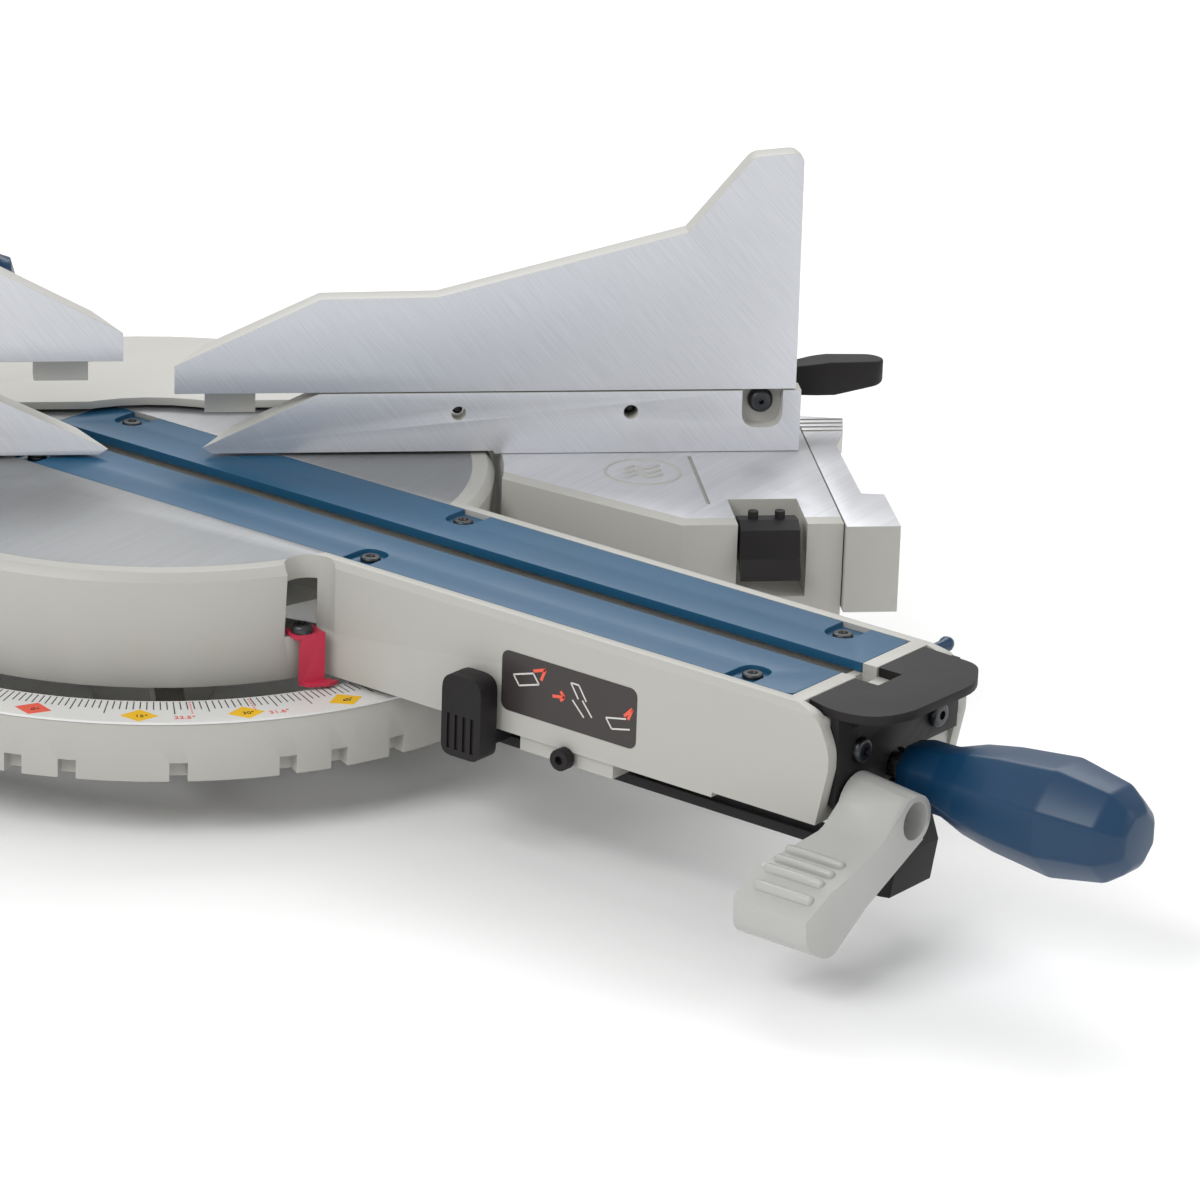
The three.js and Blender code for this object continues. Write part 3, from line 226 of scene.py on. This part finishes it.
# %% Enamel with milled faces
def milled_casting(name, masks, tones=("#ACABA5", "#B3B2AC"), milled="#CBCCD0",
                   slant=(0.0, 0.0, 0.7), lines=2.2):
    """masks(material, place) gives a socket that is 1 on the milled faces and 0 on the enamel."""
    material, surface = new_material(name)
    place = add_node(material, "ShaderNodeTexCoord").outputs["Object"]
    cloud = add_node(material, "ShaderNodeTexNoise", {"Vector": place, "Scale": 9.0, "Detail": 4.0})
    enamel = add_node(material, "ShaderNodeMix", {0: cloud.outputs["Fac"], 6: hex_colour(tones[0]),
                                                  7: hex_colour(tones[1])}, data_type="RGBA")
    turned = add_node(material, "ShaderNodeMapping", {"Vector": place, "Rotation": slant})
    drawn = add_node(material, "ShaderNodeMapping", {"Vector": turned.outputs["Vector"],
                                                     "Scale": (1.0, 0.03, 0.03)})
    cutter = add_node(material, "ShaderNodeTexNoise", {"Vector": drawn.outputs["Vector"],
                                                       "Scale": 1000.0 / lines, "Detail": 3.0})
    sheen = add_node(material, "ShaderNodeMapRange", {"Value": cutter.outputs["Fac"], "From Min": 0.3,
                                                      "From Max": 0.7, "To Min": 0.93, "To Max": 1.04})
    bare = add_node(material, "ShaderNodeMix", {0: 1.0, 6: hex_colour(milled), 7: sheen.outputs["Result"]},
                    data_type="RGBA", blend_type="MULTIPLY")
    mask = masks(material, place)
    colour = add_node(material, "ShaderNodeMix", {0: mask, 6: enamel.outputs[2], 7: bare.outputs[2]},
                      data_type="RGBA")
    connect(material, colour.outputs[2], surface.inputs["Base Color"])
    metal = add_node(material, "ShaderNodeMath", {0: mask, 1: 0.45}, operation="MULTIPLY")
    connect(material, metal.outputs[0], surface.inputs["Metallic"])
    streaks = add_node(material, "ShaderNodeMapRange", {"Value": cutter.outputs["Fac"], "To Min": 0.36,
                                                        "To Max": 0.46})
    gloss = add_node(material, "ShaderNodeMix", {0: mask, 2: 0.42, 3: streaks.outputs["Result"]})
    connect(material, gloss.outputs[0], surface.inputs["Roughness"])
    orange_peel = add_node(material, "ShaderNodeTexNoise", {"Vector": place, "Scale": 420.0, "Detail": 1.0})
    height = add_node(material, "ShaderNodeMix", {0: mask, 2: orange_peel.outputs["Fac"],
                                                  3: cutter.outputs["Fac"]})
    relief = add_node(material, "ShaderNodeBump", {"Height": height.outputs[0], "Strength": 0.25,
                                                   "Distance": 0.00006})
    connect(material, relief.outputs["Normal"], surface.inputs["Normal"])
    return material


def axis_value(material, place, axis):
    parts = add_node(material, "ShaderNodeSeparateXYZ", {"Vector": place})
    return parts.outputs[axis]


def compare(material, value, limit, operation="GREATER_THAN"):
    return add_node(material, "ShaderNodeMath", {0: value, 1: limit}, operation=operation).outputs[0]


def both(material, first, second):
    return add_node(material, "ShaderNodeMath", {0: first, 1: second}, operation="MULTIPLY").outputs[0]


def facing(material, axis, limit):
    """1 where the surface looks along one axis; limit is the least cosine."""
    normal = add_node(material, "ShaderNodeNewGeometry").outputs["True Normal"]
    side = "GREATER_THAN" if limit > 0 else "LESS_THAN"
    return compare(material, axis_value(material, normal, axis), limit, side)


def table_top(material, place):
    high = compare(material, axis_value(material, place, "Z"), (TABLE - 0.05) * 0.001)
    return both(material, high, facing(material, "Z", 0.995))


def wing_top(material, place):
    """Milled inside a painted border along the front and the slanted inner edge."""
    high = table_top(material, place)
    behind = compare(material, axis_value(material, place, "Y"), -0.0835)
    width = add_node(material, "ShaderNodeMath", {0: axis_value(material, place, "X")}, operation="ABSOLUTE")
    across = add_node(material, "ShaderNodeMath", {0: width.outputs[0], 1: 0.6616}, operation="MULTIPLY")
    along = add_node(material, "ShaderNodeMath", {0: axis_value(material, place, "Y"), 1: 0.7498,
                                                  2: across.outputs[0]}, operation="MULTIPLY_ADD")
    inside = compare(material, along.outputs[0], 0.0800)
    return both(material, high, both(material, behind, inside))


def disc_top(material, place):
    """Milled out to a painted rim a few millimetres wide."""
    high = table_top(material, place)
    flat = add_node(material, "ShaderNodeVectorMath", {0: place, 1: (1.0, 1.0, 0.0)}, operation="MULTIPLY")
    reach = add_node(material, "ShaderNodeVectorMath", {0: flat.outputs["Vector"]}, operation="LENGTH")
    return both(material, high, compare(material, reach.outputs["Value"], 0.1345, "LESS_THAN"))


def fence_front(material, place):
    return both(material, compare(material, axis_value(material, place, "Y"), 0.00005, "LESS_THAN"),
                facing(material, "Y", -0.99))


def nothing_milled(material, place):
    """The place is in metres, and no piece of the saw is nine metres high."""
    return compare(material, axis_value(material, place, "Z"), 9.0)


wing_finish = milled_casting("enamelled_casting_with_milled_wings", wing_top)
# The disc's milled top gets a darker grey than the other milled tops. It is the same bare aluminium, so this
# darker tone is a painted dark reflection, not the metal's own colour.
disc_finish_painted_dark_reflection = milled_casting("enamelled_casting_with_milled_disc_painted_darker", disc_top, milled="#919395")
extension_finish = milled_casting("enamelled_extension_with_milled_top", table_top)
fence_finish = milled_casting("fence_casting_with_milled_face", fence_front, ("#BAB9B4", "#C2C1BC"),
                              "#D6D8DD", (0.0, 0.7, 0.0), 0.7)
casting_enamel = milled_casting("satin_casting_enamel", nothing_milled)

# %% [markdown]
# A CAD solid has knife edges; a casting never does. A copy of each solid is cleaned up: the loose
# triangles are joined, flat fans of triangles are dissolved to whole faces, and a narrow bevel of
# three or four rows rounds every sharp edge, so that it catches the light. The copy stands for the
# solid.

# %% Rounded copies of the CAD solids
body_of_node = {n: body for body, members in frame["record"]["behaviour"]["bodies"].items() for n in members}


def rounded_copy(node, material, radius_mm, rows=3, sharp=28.0, name=None):
    source = nodes[node]
    bm = bmesh.new()
    bm.from_mesh(source.data)
    bmesh.ops.remove_doubles(bm, verts=bm.verts, dist=2e-5)
    bmesh.ops.dissolve_limit(bm, angle_limit=math.radians(0.6), verts=bm.verts, edges=bm.edges,
                             use_dissolve_boundaries=False, delimit=set())
    mesh = bpy.data.meshes.new(name or node + "_finished")
    bm.to_mesh(mesh)
    bm.free()
    mesh.materials.clear()
    mesh.materials.append(material)
    for face in mesh.polygons:
        face.use_smooth = True
        face.material_index = 0
    piece = bpy.data.objects.new(name or node + "_finished", mesh)
    bpy.context.scene.collection.objects.link(piece)
    if radius_mm:
        bevel = piece.modifiers.new("rounded_edges", "BEVEL")
        bevel.width = radius_mm * 0.001
        bevel.segments = rows
        bevel.limit_method = "ANGLE"
        bevel.angle_limit = math.radians(sharp)
        bevel.use_clamp_overlap = True
        bevel.harden_normals = True
        bevel.miter_outer = "MITER_ARC"
    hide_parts(node)
    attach(piece, body_of_node[node])
    return piece


rounded_copy("base_casting", wing_finish, 1.4)
rounded_copy("turntable", disc_finish_painted_dark_reflection, 1.2)
for word in ("right", "left"):
    rounded_copy("extension_" + word, extension_finish, 1.2)
    rounded_copy("extension_lock_" + word, black_nylon, 0.8)
    rounded_copy("sliding_fence_" + word, fence_finish, 1.8)
    rounded_copy("fence_lever_" + word, black_nylon, 2.2)
    rounded_copy("kerf_insert_" + word, blue_nylon, 0.5)
rounded_copy("fence_casting", fence_finish, 1.3)
rounded_copy("front_cap", black_nylon, 1.2)
lever_piece = rounded_copy("bevel_lock_lever", lever_enamel, 2.0, 3)
rounded_copy("detent_lever", black_nylon, 1.2)
rounded_copy("detent_pad", black_nylon, 1.6)
rounded_copy("mitre_pointer", pointer_plastic, 0.5)
rounded_copy("bevel_range_pin", knob_plastic, 0.8)
rounded_copy("fence_knob_left", knob_plastic, 1.6)
rounded_copy("bevel_yoke", casting_enamel, 2.5)
rounded_copy("head_casting", casting_enamel, 2.0)
rounded_copy("drive_housing", casting_enamel, 3.0)
rounded_copy("motor_housing", black_nylon, 1.0)
rounded_copy("motor_end_cap", black_nylon, 0.6)
rounded_copy("main_handle", black_nylon, 4.0, 4)
rounded_copy("carry_handle", black_nylon, 3.5, 4)
rounded_copy("lower_guard", black_nylon, 0.6)
rounded_copy("trigger", knob_plastic, 1.5)

# %% [markdown]
# Turned pins, screws and washers keep their CAD shape; their edges are too small to show a radius
# at this distance. They only take a finish.

# %% Finishes for the small turned pieces
plain_finishes = (
    (ground_blade, ("saw_blade",)),
    (bright_steel, ("pivot_bolt", "pivot_washer", "mitre_lock_rod", "bevel_lock_rod", "mitre_clamp_shoe",
                    "bevel_bolt", "hinge_pin", "arbor_shaft", "outer_flange", "arbor_bolt",
                    "arbor_pulley", "motor_stator", "motor_armature")),
    (black_nylon, ("stop_screw", "dust_port")),
    (knob_plastic, ("lockdown_pin", "lock_off_button")),
    (belt_rubber, ("cord_gland", "drive_belt")),
)
for finish, names in plain_finishes:
    for node in names:
        nodes[node].data.materials.clear()
        nodes[node].data.materials.append(finish)

# %% [markdown]
# The mitre scale is a white enamelled strip on the ring. Its black divisions stand one degree apart,
# each fifth a little longer, and each tenth longer again. The stops that are used most have a coloured
# mark and a number. The strokes are thin plates under a tenth of a millimetre proud, as print is.

# %% A helper for small pieces
scale_white = moulded_finish("white_scale_enamel", "#D9D9D6", "#E0E0DE", 0.35, 4.0, 0.01)
print_black = moulded_finish("black_print", "#1D1B1C", "#262324", 0.5, 4.0, 0.01)
print_white = moulded_finish("white_print", "#C9C6C2", "#D2CFCB", 0.45, 4.0, 0.01)
print_yellow = moulded_finish("yellow_print", "#EBB70F", "#F2C21C", 0.45, 4.0, 0.01)
print_red = moulded_finish("red_print", "#E4553F", "#EC6450", 0.45, 4.0, 0.01)
nodes["mitre_scale"].data.materials.clear()
nodes["mitre_scale"].data.materials.append(scale_white)


def finish_piece(bm, name, place, material, body, smooth=35.0):
    """Sets a drawn piece in the world and lets it ride on a body."""
    bmesh.ops.transform(bm, matrix=place, verts=bm.verts)
    bmesh.ops.recalc_face_normals(bm, faces=bm.faces)
    mesh = bpy.data.meshes.new(name)
    bm.to_mesh(mesh)
    bm.free()
    mesh.materials.append(material)
    mesh.shade_smooth()
    mesh.set_sharp_from_angle(angle=math.radians(smooth))
    piece = bpy.data.objects.new(name, mesh)
    bpy.context.scene.collection.objects.link(piece)
    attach(piece, body)
    return piece


def add_plate(bm, corners, lift):
    """A flat plate from its corners, in order, raised by the vector lift."""
    face = bm.faces.new([bm.verts.new(c) for c in corners])
    raised = bmesh.ops.extrude_face_region(bm, geom=[face])
    moved = [v for v in raised["geom"] if isinstance(v, bmesh.types.BMVert)]
    bmesh.ops.translate(bm, verts=moved, vec=lift)


# %% Scale divisions and stop marks
SCALE_TOP = TABLE - 53.6 + 1.3
SCALE_OFFSET = -20.4                # the 0 mark stands this many degrees from straight ahead


def on_scale(radius, reading, z=SCALE_TOP):
    angle = math.radians(reading + SCALE_OFFSET)
    return Vector((radius * math.sin(angle), -radius * math.cos(angle), z))


def scale_stroke(bm, reading, inner, outer, half_width):
    turn_half = math.degrees(half_width / (0.5 * (inner + outer)))
    add_plate(bm, [on_scale(inner, reading - turn_half), on_scale(outer, reading - turn_half),
                   on_scale(outer, reading + turn_half), on_scale(inner, reading + turn_half)], (0, 0, 0.08))


marked = (0, 15, 30, 45)
strokes = bmesh.new()
for degree in range(-38, 81):
    if degree in marked:
        reach = 158.0
    elif degree % 10 == 0:
        reach = 164.0
    elif degree % 5 == 0:
        reach = 162.0
    else:
        reach = 159.0
    scale_stroke(strokes, degree, 150.6, reach, 0.22)
finish_piece(strokes, "scale_divisions", base_place, print_black, "base")


def stop_mark(bm, reading):
    """A kite that points at its division."""
    add_plate(bm, [on_scale(159.0, reading), on_scale(166.0, reading + 2.7), on_scale(172.0, reading),
                   on_scale(166.0, reading - 2.7)], (0, 0, 0.06))


for reading, material, word in ((0, print_red, "zero"), (15, print_yellow, "fifteen"),
                                (30, print_yellow, "thirty"), (45, print_yellow, "forty_five")):
    kite = bmesh.new()
    stop_mark(kite, reading)
    finish_piece(kite, "stop_mark_" + word, base_place, material, "base")

# %% [markdown]
# The numbers are ordinary text, made into a mesh before it is set on the ring. Each one reads from
# the front of the saw, so its foot points outwards.

# %% Numbers
def scale_number(text, reading, radius, size, material, name):
    curve = bpy.data.curves.new(name, "FONT")
    curve.body = text
    curve.size = size
    curve.align_x = "CENTER"
    curve.align_y = "CENTER"
    curve.extrude = 0.05
    drawn = bpy.data.objects.new(name, curve)
    bpy.context.scene.collection.objects.link(drawn)
    bpy.context.view_layer.update()
    mesh = bpy.data.meshes.new_from_object(drawn.evaluated_get(bpy.context.evaluated_depsgraph_get()))
    bpy.data.objects.remove(drawn)
    bpy.data.curves.remove(curve)
    bm = bmesh.new()
    bm.from_mesh(mesh)
    bpy.data.meshes.remove(mesh)
    bmesh.ops.remove_doubles(bm, verts=bm.verts, dist=0.0001)
    turned = Matrix.Rotation(math.radians(reading + SCALE_OFFSET), 4, "Z")
    place = base_place @ Matrix.Translation(on_scale(radius, reading, SCALE_TOP + 0.12)) @ turned
    finish_piece(bm, name, place, material, "base")


for reading in marked:
    scale_number(f"{reading}°", reading + 0.3, 166.4, 3.8, print_black, f"scale_number_{reading}")
for reading, text in ((22.5, "22.5°"), (31.6, "31.6°")):
    word = text.replace("°", "").replace(".", "_")
    shift = -1.2 if reading < 30 else 3.0
    scale_number(text, reading + shift, 168.0, 4.2, print_red, "scale_number_" + word)
    dots = bmesh.new()
    for step in range(6):
        scale_stroke(dots, reading, 151.0 + step * 2.3, 152.2 + step * 2.3, 0.3)
    finish_piece(dots, "stop_dots_" + word, base_place, print_red, "base")

# %% [markdown]
# Screw heads are where the eye checks whether a machine is real. Each is a low dome with a recess:
# a circle is extruded, its rim is bevelled, its top is inset and a round pit is sunk into it.

# %% Screw heads
PIT_TAPER = 0.8


def add_screw_head(bm, place, radius, height, recess=0.5):
    made = bmesh.ops.create_circle(bm, cap_ends=True, segments=24, radius=radius)
    base_face = [f for f in bm.faces if all(v in made["verts"] for v in f.verts)][0]
    raised = bmesh.ops.extrude_face_region(bm, geom=[base_face])
    rim = [v for v in raised["geom"] if isinstance(v, bmesh.types.BMVert)]
    crown = [f for f in raised["geom"] if isinstance(f, bmesh.types.BMFace)][0]
    bmesh.ops.translate(bm, verts=rim, vec=(0, 0, height))
    bmesh.ops.bevel(bm, geom=list(crown.edges), offset=height * 0.55, segments=4, profile=0.5,
                    affect="EDGES", material=-1)
    crown = max(bm.faces, key=lambda f: f.calc_center_median().z)
    bmesh.ops.inset_region(bm, faces=[crown], thickness=max(0.2, radius * 0.28))
    flat = [f for f in bm.faces if abs(f.calc_center_median().z - height) < 1e-4]
    crown = min(flat, key=lambda f: f.calc_center_median().to_2d().length)
    sunk = bmesh.ops.extrude_face_region(bm, geom=[crown])
    pit = [v for v in sunk["geom"] if isinstance(v, bmesh.types.BMVert)]
    bmesh.ops.translate(bm, verts=pit, vec=(0, 0, -height * recess))
    for v in pit:
        v.co.xy *= PIT_TAPER
    bmesh.ops.delete(bm, geom=[crown], context="FACES")
    bmesh.ops.transform(bm, matrix=place, verts=bm.verts)


def screw_piece(name, group_place, centre, axis, radius, height, body, material=None):
    bm = bmesh.new()
    aim = Vector((0, 0, 1)).rotation_difference(Vector(axis)).to_matrix().to_4x4()
    add_screw_head(bm, Matrix.Translation(centre) @ aim, radius, height)
    return finish_piece(bm, name, group_place, material or dark_screw, body)


for word, x in (("right", 25.8), ("left", -25.8)):
    place = (x, -ARM_FRONT - 3.7, TABLE - 20.5)
    screw_piece("cap_screw_" + word, arm_place, place, (0, -1, 0), 5.2, 3.4, "table")
pointer_turn = Matrix.Rotation(math.radians(-23.3), 4, "Z")
screw_piece("pointer_screw", arm_place @ pointer_turn, (-1, -143.5, TABLE - 28.7), (0, 0, 1), 4.6, 3.4,
            "table")
for word, sign, height in (("right", 1, 27.6), ("left", -1, 42.4)):
    bm = bmesh.new()
    aim = Vector((0, 0, 1)).rotation_difference(Vector((0, -1, 0))).to_matrix().to_4x4()
    add_screw_head(bm, Matrix.Translation((sign * 259.3, 7.6, TABLE + height - 6)) @ aim, 5.4, 5.0)
    head = finish_piece(bm, "fence_screw_head_" + word, base_place, dark_screw, "base")
    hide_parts("fence_screw_" + word)
for word, sign in (("right", 1), ("left", -1)):
    for number, y in enumerate((-338.5, -144, 40), 1):
        piece = screw_piece(f"insert_screw_head_{word}_{number}", arm_place, (sign * 30, y, TABLE - 2.1),
                            (0, 0, 1), 4.2, 1.8, "table")
        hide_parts(f"insert_screw_{word}_{number}")
for word, sign in (("right", 1), ("left", -1)):
    for number, x in enumerate((128.9, 202.8), 1):
        screw_piece(f"fence_set_screw_{word}_{number}", base_place, (sign * x, 9.0, TABLE + 18.4),
                    (0, -1, 0), 2.4, 3.0, "base")
print("screw heads made")

# %% [markdown]
# The bevel lever's paddle has grip ribs across it, so that a thumb doesn't slip. Each is a bar with
# its ends and top rounded, half sunk in the paddle. They are laid from the middle out to the tip, and
# a rib is left out where the paddle doesn't reach under both its ends.

# %% Grip ribs
def add_bar(bm, start, end, width, height):
    """A rounded bar between two points: a cube stretched along the line, with bevelled edges."""
    start, end = Vector(start), Vector(end)
    cube = bmesh.ops.create_cube(bm, size=1.0)
    line = end - start
    aim = line.to_track_quat("Y", "Z").to_matrix().to_4x4()
    shape = Matrix.Translation((start + end) / 2) @ aim @ Matrix.Diagonal((width, line.length, height, 1))
    bmesh.ops.transform(bm, matrix=shape, verts=cube["verts"])
    edges = {e for v in cube["verts"] for e in v.link_edges}
    bmesh.ops.bevel(bm, geom=list(edges), offset=min(width, height) * 0.42, segments=3, profile=0.5,
                    affect="EDGES", material=-1)


def surface_height(tree, x, y):
    """Height of the lever's upper surface under a point of the arm's own frame, in millimetres."""
    start = arm_place @ Vector((x, y, 300.0))
    hit = tree.ray_cast(start, Vector((0, 0, -1)))[0]
    return None if hit is None else (arm_place.inverted() @ hit).z


lever_tree = BVHTree.FromObject(lever_piece, bpy.context.evaluated_depsgraph_get())
lever_ribs = bmesh.new()
hub = Vector((-27.5, 0, TABLE - 42))
LEVER_FRONT, LEVER_BACK = -411.5, -384.0
for step in range(5):
    x = hub.x - 62 * (0.52 + 0.105 * step)
    front = surface_height(lever_tree, x, LEVER_FRONT)
    back = surface_height(lever_tree, x, LEVER_BACK - 2.0)
    if front is not None and back is not None:
        add_bar(lever_ribs, (x, LEVER_FRONT, front + 0.1), (x, LEVER_BACK, back + 0.1), 3.8, 4.4)
finish_piece(lever_ribs, "lever_grip_ribs", arm_place, lever_enamel, "bevel_lever")

# %% [markdown]
# The mitre knob is moulded with a round neck, a waist, and a long body with eight flats that ends in
# a blunt tip. Its section is an octagon: one profile is spun round in eight steps, and every edge is
# then rounded a little.

# %% Mitre knob
KNOB_START = 395.0
knob = bmesh.new()
knob_profile = ((0, 12.3), (7, 14.2), (19, 14.4), (31, 18.6), (46, 21.4), (73, 24.3), (97, 20.0),
                (104.5, 14.6), (107, 11.0))
first_corner = math.radians(22.5)
chain = [knob.verts.new((r * math.cos(first_corner), -KNOB_START - along, r * math.sin(first_corner)))
         for along, r in knob_profile]
rails = [knob.edges.new((chain[i], chain[i + 1])) for i in range(len(chain) - 1)]
bmesh.ops.spin(knob, geom=chain + rails, cent=(0, 0, 0), axis=(0, 1, 0), angle=math.radians(360), steps=8,
               use_merge=True)
bmesh.ops.remove_doubles(knob, verts=knob.verts, dist=0.01)
bmesh.ops.holes_fill(knob, edges=[e for e in knob.edges if e.is_boundary])
bmesh.ops.recalc_face_normals(knob, faces=knob.faces)
bmesh.ops.bevel(knob, geom=list(knob.edges), offset=1.2, segments=2, profile=0.5, affect="EDGES",
                material=-1, clamp_overlap=True)
bmesh.ops.translate(knob, verts=knob.verts, vec=(0, 0, TABLE - 34.7))
knob_piece = finish_piece(knob, "mitre_lock_knob_finished", arm_place, knob_plastic, "mitre_knob",
                          40.0)
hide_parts("mitre_lock_knob")

# %% [markdown]
# The safety label on the arm's side is a dark film with a few pictures that show how a lever is
# lifted. The pictures here are simple bars and arrows, raised by the thickness of the print.

# %% Label on the arm
SIDE_X = -46.5


def rounded_plate(bm, y0, y1, z0, z1, radius, lift):
    verts = [bm.verts.new((SIDE_X, y, z)) for y, z in ((y0, z0), (y1, z0), (y1, z1), (y0, z1))]
    face = bm.faces.new(verts)
    raised = bmesh.ops.extrude_face_region(bm, geom=[face])
    moved = [v for v in raised["geom"] if isinstance(v, bmesh.types.BMVert)]
    bmesh.ops.translate(bm, verts=moved, vec=(-lift, 0, 0))
    corners = [e for e in bm.edges if abs(e.verts[0].co.x - e.verts[1].co.x) > lift * 0.5]
    bmesh.ops.bevel(bm, geom=corners, offset=radius, segments=5, profile=0.5, affect="EDGES", material=-1)


label = bmesh.new()
rounded_plate(label, -295.0, -227.0, TABLE - 40.0, TABLE - 14.5, 3.5, 0.25)
finish_piece(label, "arm_label", arm_place, label_ground, "table")


def label_bar(bm, a, b, width):
    """A stroke on the label; a and b are (distance along the arm, height below the table)."""
    start = Vector((SIDE_X - 0.28, -a[0], TABLE - a[1]))
    end = Vector((SIDE_X - 0.28, -b[0], TABLE - b[1]))
    across = (end - start).cross(Vector((1, 0, 0))).normalized() * width / 2
    add_plate(bm, [start - across, start + across, end + across, end - across], (-0.05, 0, 0))


white_strokes = bmesh.new()
for a, b in (((233, 24), (243, 21)), ((233, 24), (236, 28)), ((236, 28), (246, 25)), ((243, 21), (246, 25)),
             ((262, 20), (266, 26)), ((266, 20), (270, 26)), ((262, 20), (266, 20)), ((263, 27), (269, 33)),
             ((268, 26), (273, 32)), ((280, 30), (290, 28)), ((280, 30), (283, 34)), ((283, 34), (292, 32))):
    label_bar(white_strokes, a, b, 0.7)
finish_piece(white_strokes, "label_pictures", arm_place, print_white, "table")
red_strokes = bmesh.new()
for a, b in (((243, 20), (249, 18)), ((249, 18), (247, 23)), ((253, 28), (259, 27)), ((257, 25), (259, 27)),
             ((257, 29), (259, 27)), ((289, 27), (293, 23)), ((293, 23), (291, 28))):
    label_bar(red_strokes, a, b, 1.3)
finish_piece(red_strokes, "label_arrows", arm_place, print_red, "table")

# %% [markdown]
# A round seal is cast into the right wing: a ring with three wavy bars inside it, raised a little
# above the milled top.

# %% Seal on the wing
seal = bmesh.new()
centre = Vector((205.3, -25.0, TABLE))
ring_section = [seal.verts.new((centre.x + r, centre.y, TABLE + z)) for r, z in ((15.4, -0.2), (15.6, 0.35),
                                                                                (16.5, 0.35), (16.7, -0.2))]
section_edges = [seal.edges.new((ring_section[i], ring_section[(i + 1) % 4])) for i in range(4)]
bmesh.ops.spin(seal, geom=section_edges, cent=centre, axis=(0, 0, 1), angle=math.radians(360), steps=64,
               use_merge=True)
bmesh.ops.remove_doubles(seal, verts=seal.verts, dist=0.001)
for offset in (-5.5, 0.0, 5.5):
    for start, end in (((-8, -2), (-3, 2.5)), ((-3, 2.5), (2, -2)), ((2, -2), (8, 2.5))):
        add_bar(seal, centre + Vector((start[0], start[1] + offset, 0.1)),
                centre + Vector((end[0], end[1] + offset, 0.1)), 1.6, 0.9)
finish_piece(seal, "wing_seal", base_place, casting_enamel, "base")

# %% [markdown]
# The chop spring is a coil round the hinge pin. A circle, the section of the wire, is spun while it
# steps along the pin, which is what a spring winder does.

# %% Return spring
coil = bmesh.new()
upright = Matrix.Rotation(math.pi, 4, "X") @ Matrix.Rotation(math.pi / 2, 4, "Y")
bmesh.ops.create_circle(coil, cap_ends=False, segments=10, radius=1.05,
                        matrix=Matrix.Translation((8.2, 11.2, 0)) @ upright)
turns, coil_length = 4, 9.6
steps = 28 * turns
bmesh.ops.spin(coil, geom=list(coil.edges), cent=(0, 0, 0), axis=(1, 0, 0),
               angle=math.radians(360 * turns), steps=steps, dvec=(coil_length / steps, 0, 0),
               use_merge=False)
bmesh.ops.holes_fill(coil, edges=[e for e in coil.edges if e.is_boundary])
spring = finish_piece(coil, "return_spring_coil", head_place, bright_steel, "head")
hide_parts("return_spring")

# %% [markdown]
# A pale floor takes the saw's shadow.

# %% Floor
floor_mesh = bpy.data.meshes.new("floor")
floor_bm = bmesh.new()
bmesh.ops.create_grid(floor_bm, x_segments=1, y_segments=1, size=14.0)
bmesh.ops.translate(floor_bm, verts=floor_bm.verts, vec=(0, 0, -0.0005))
floor_bm.to_mesh(floor_mesh)
floor_bm.free()
floor = bpy.data.objects.new("floor", floor_mesh)
bpy.context.scene.collection.objects.link(floor)
floor_material, floor_surface = new_material("pale_floor")
floor_surface.inputs["Base Color"].default_value = hex_colour("#FDFDFD")
floor_surface.inputs["Roughness"].default_value = 0.8
floor_mesh.materials.append(floor_material)
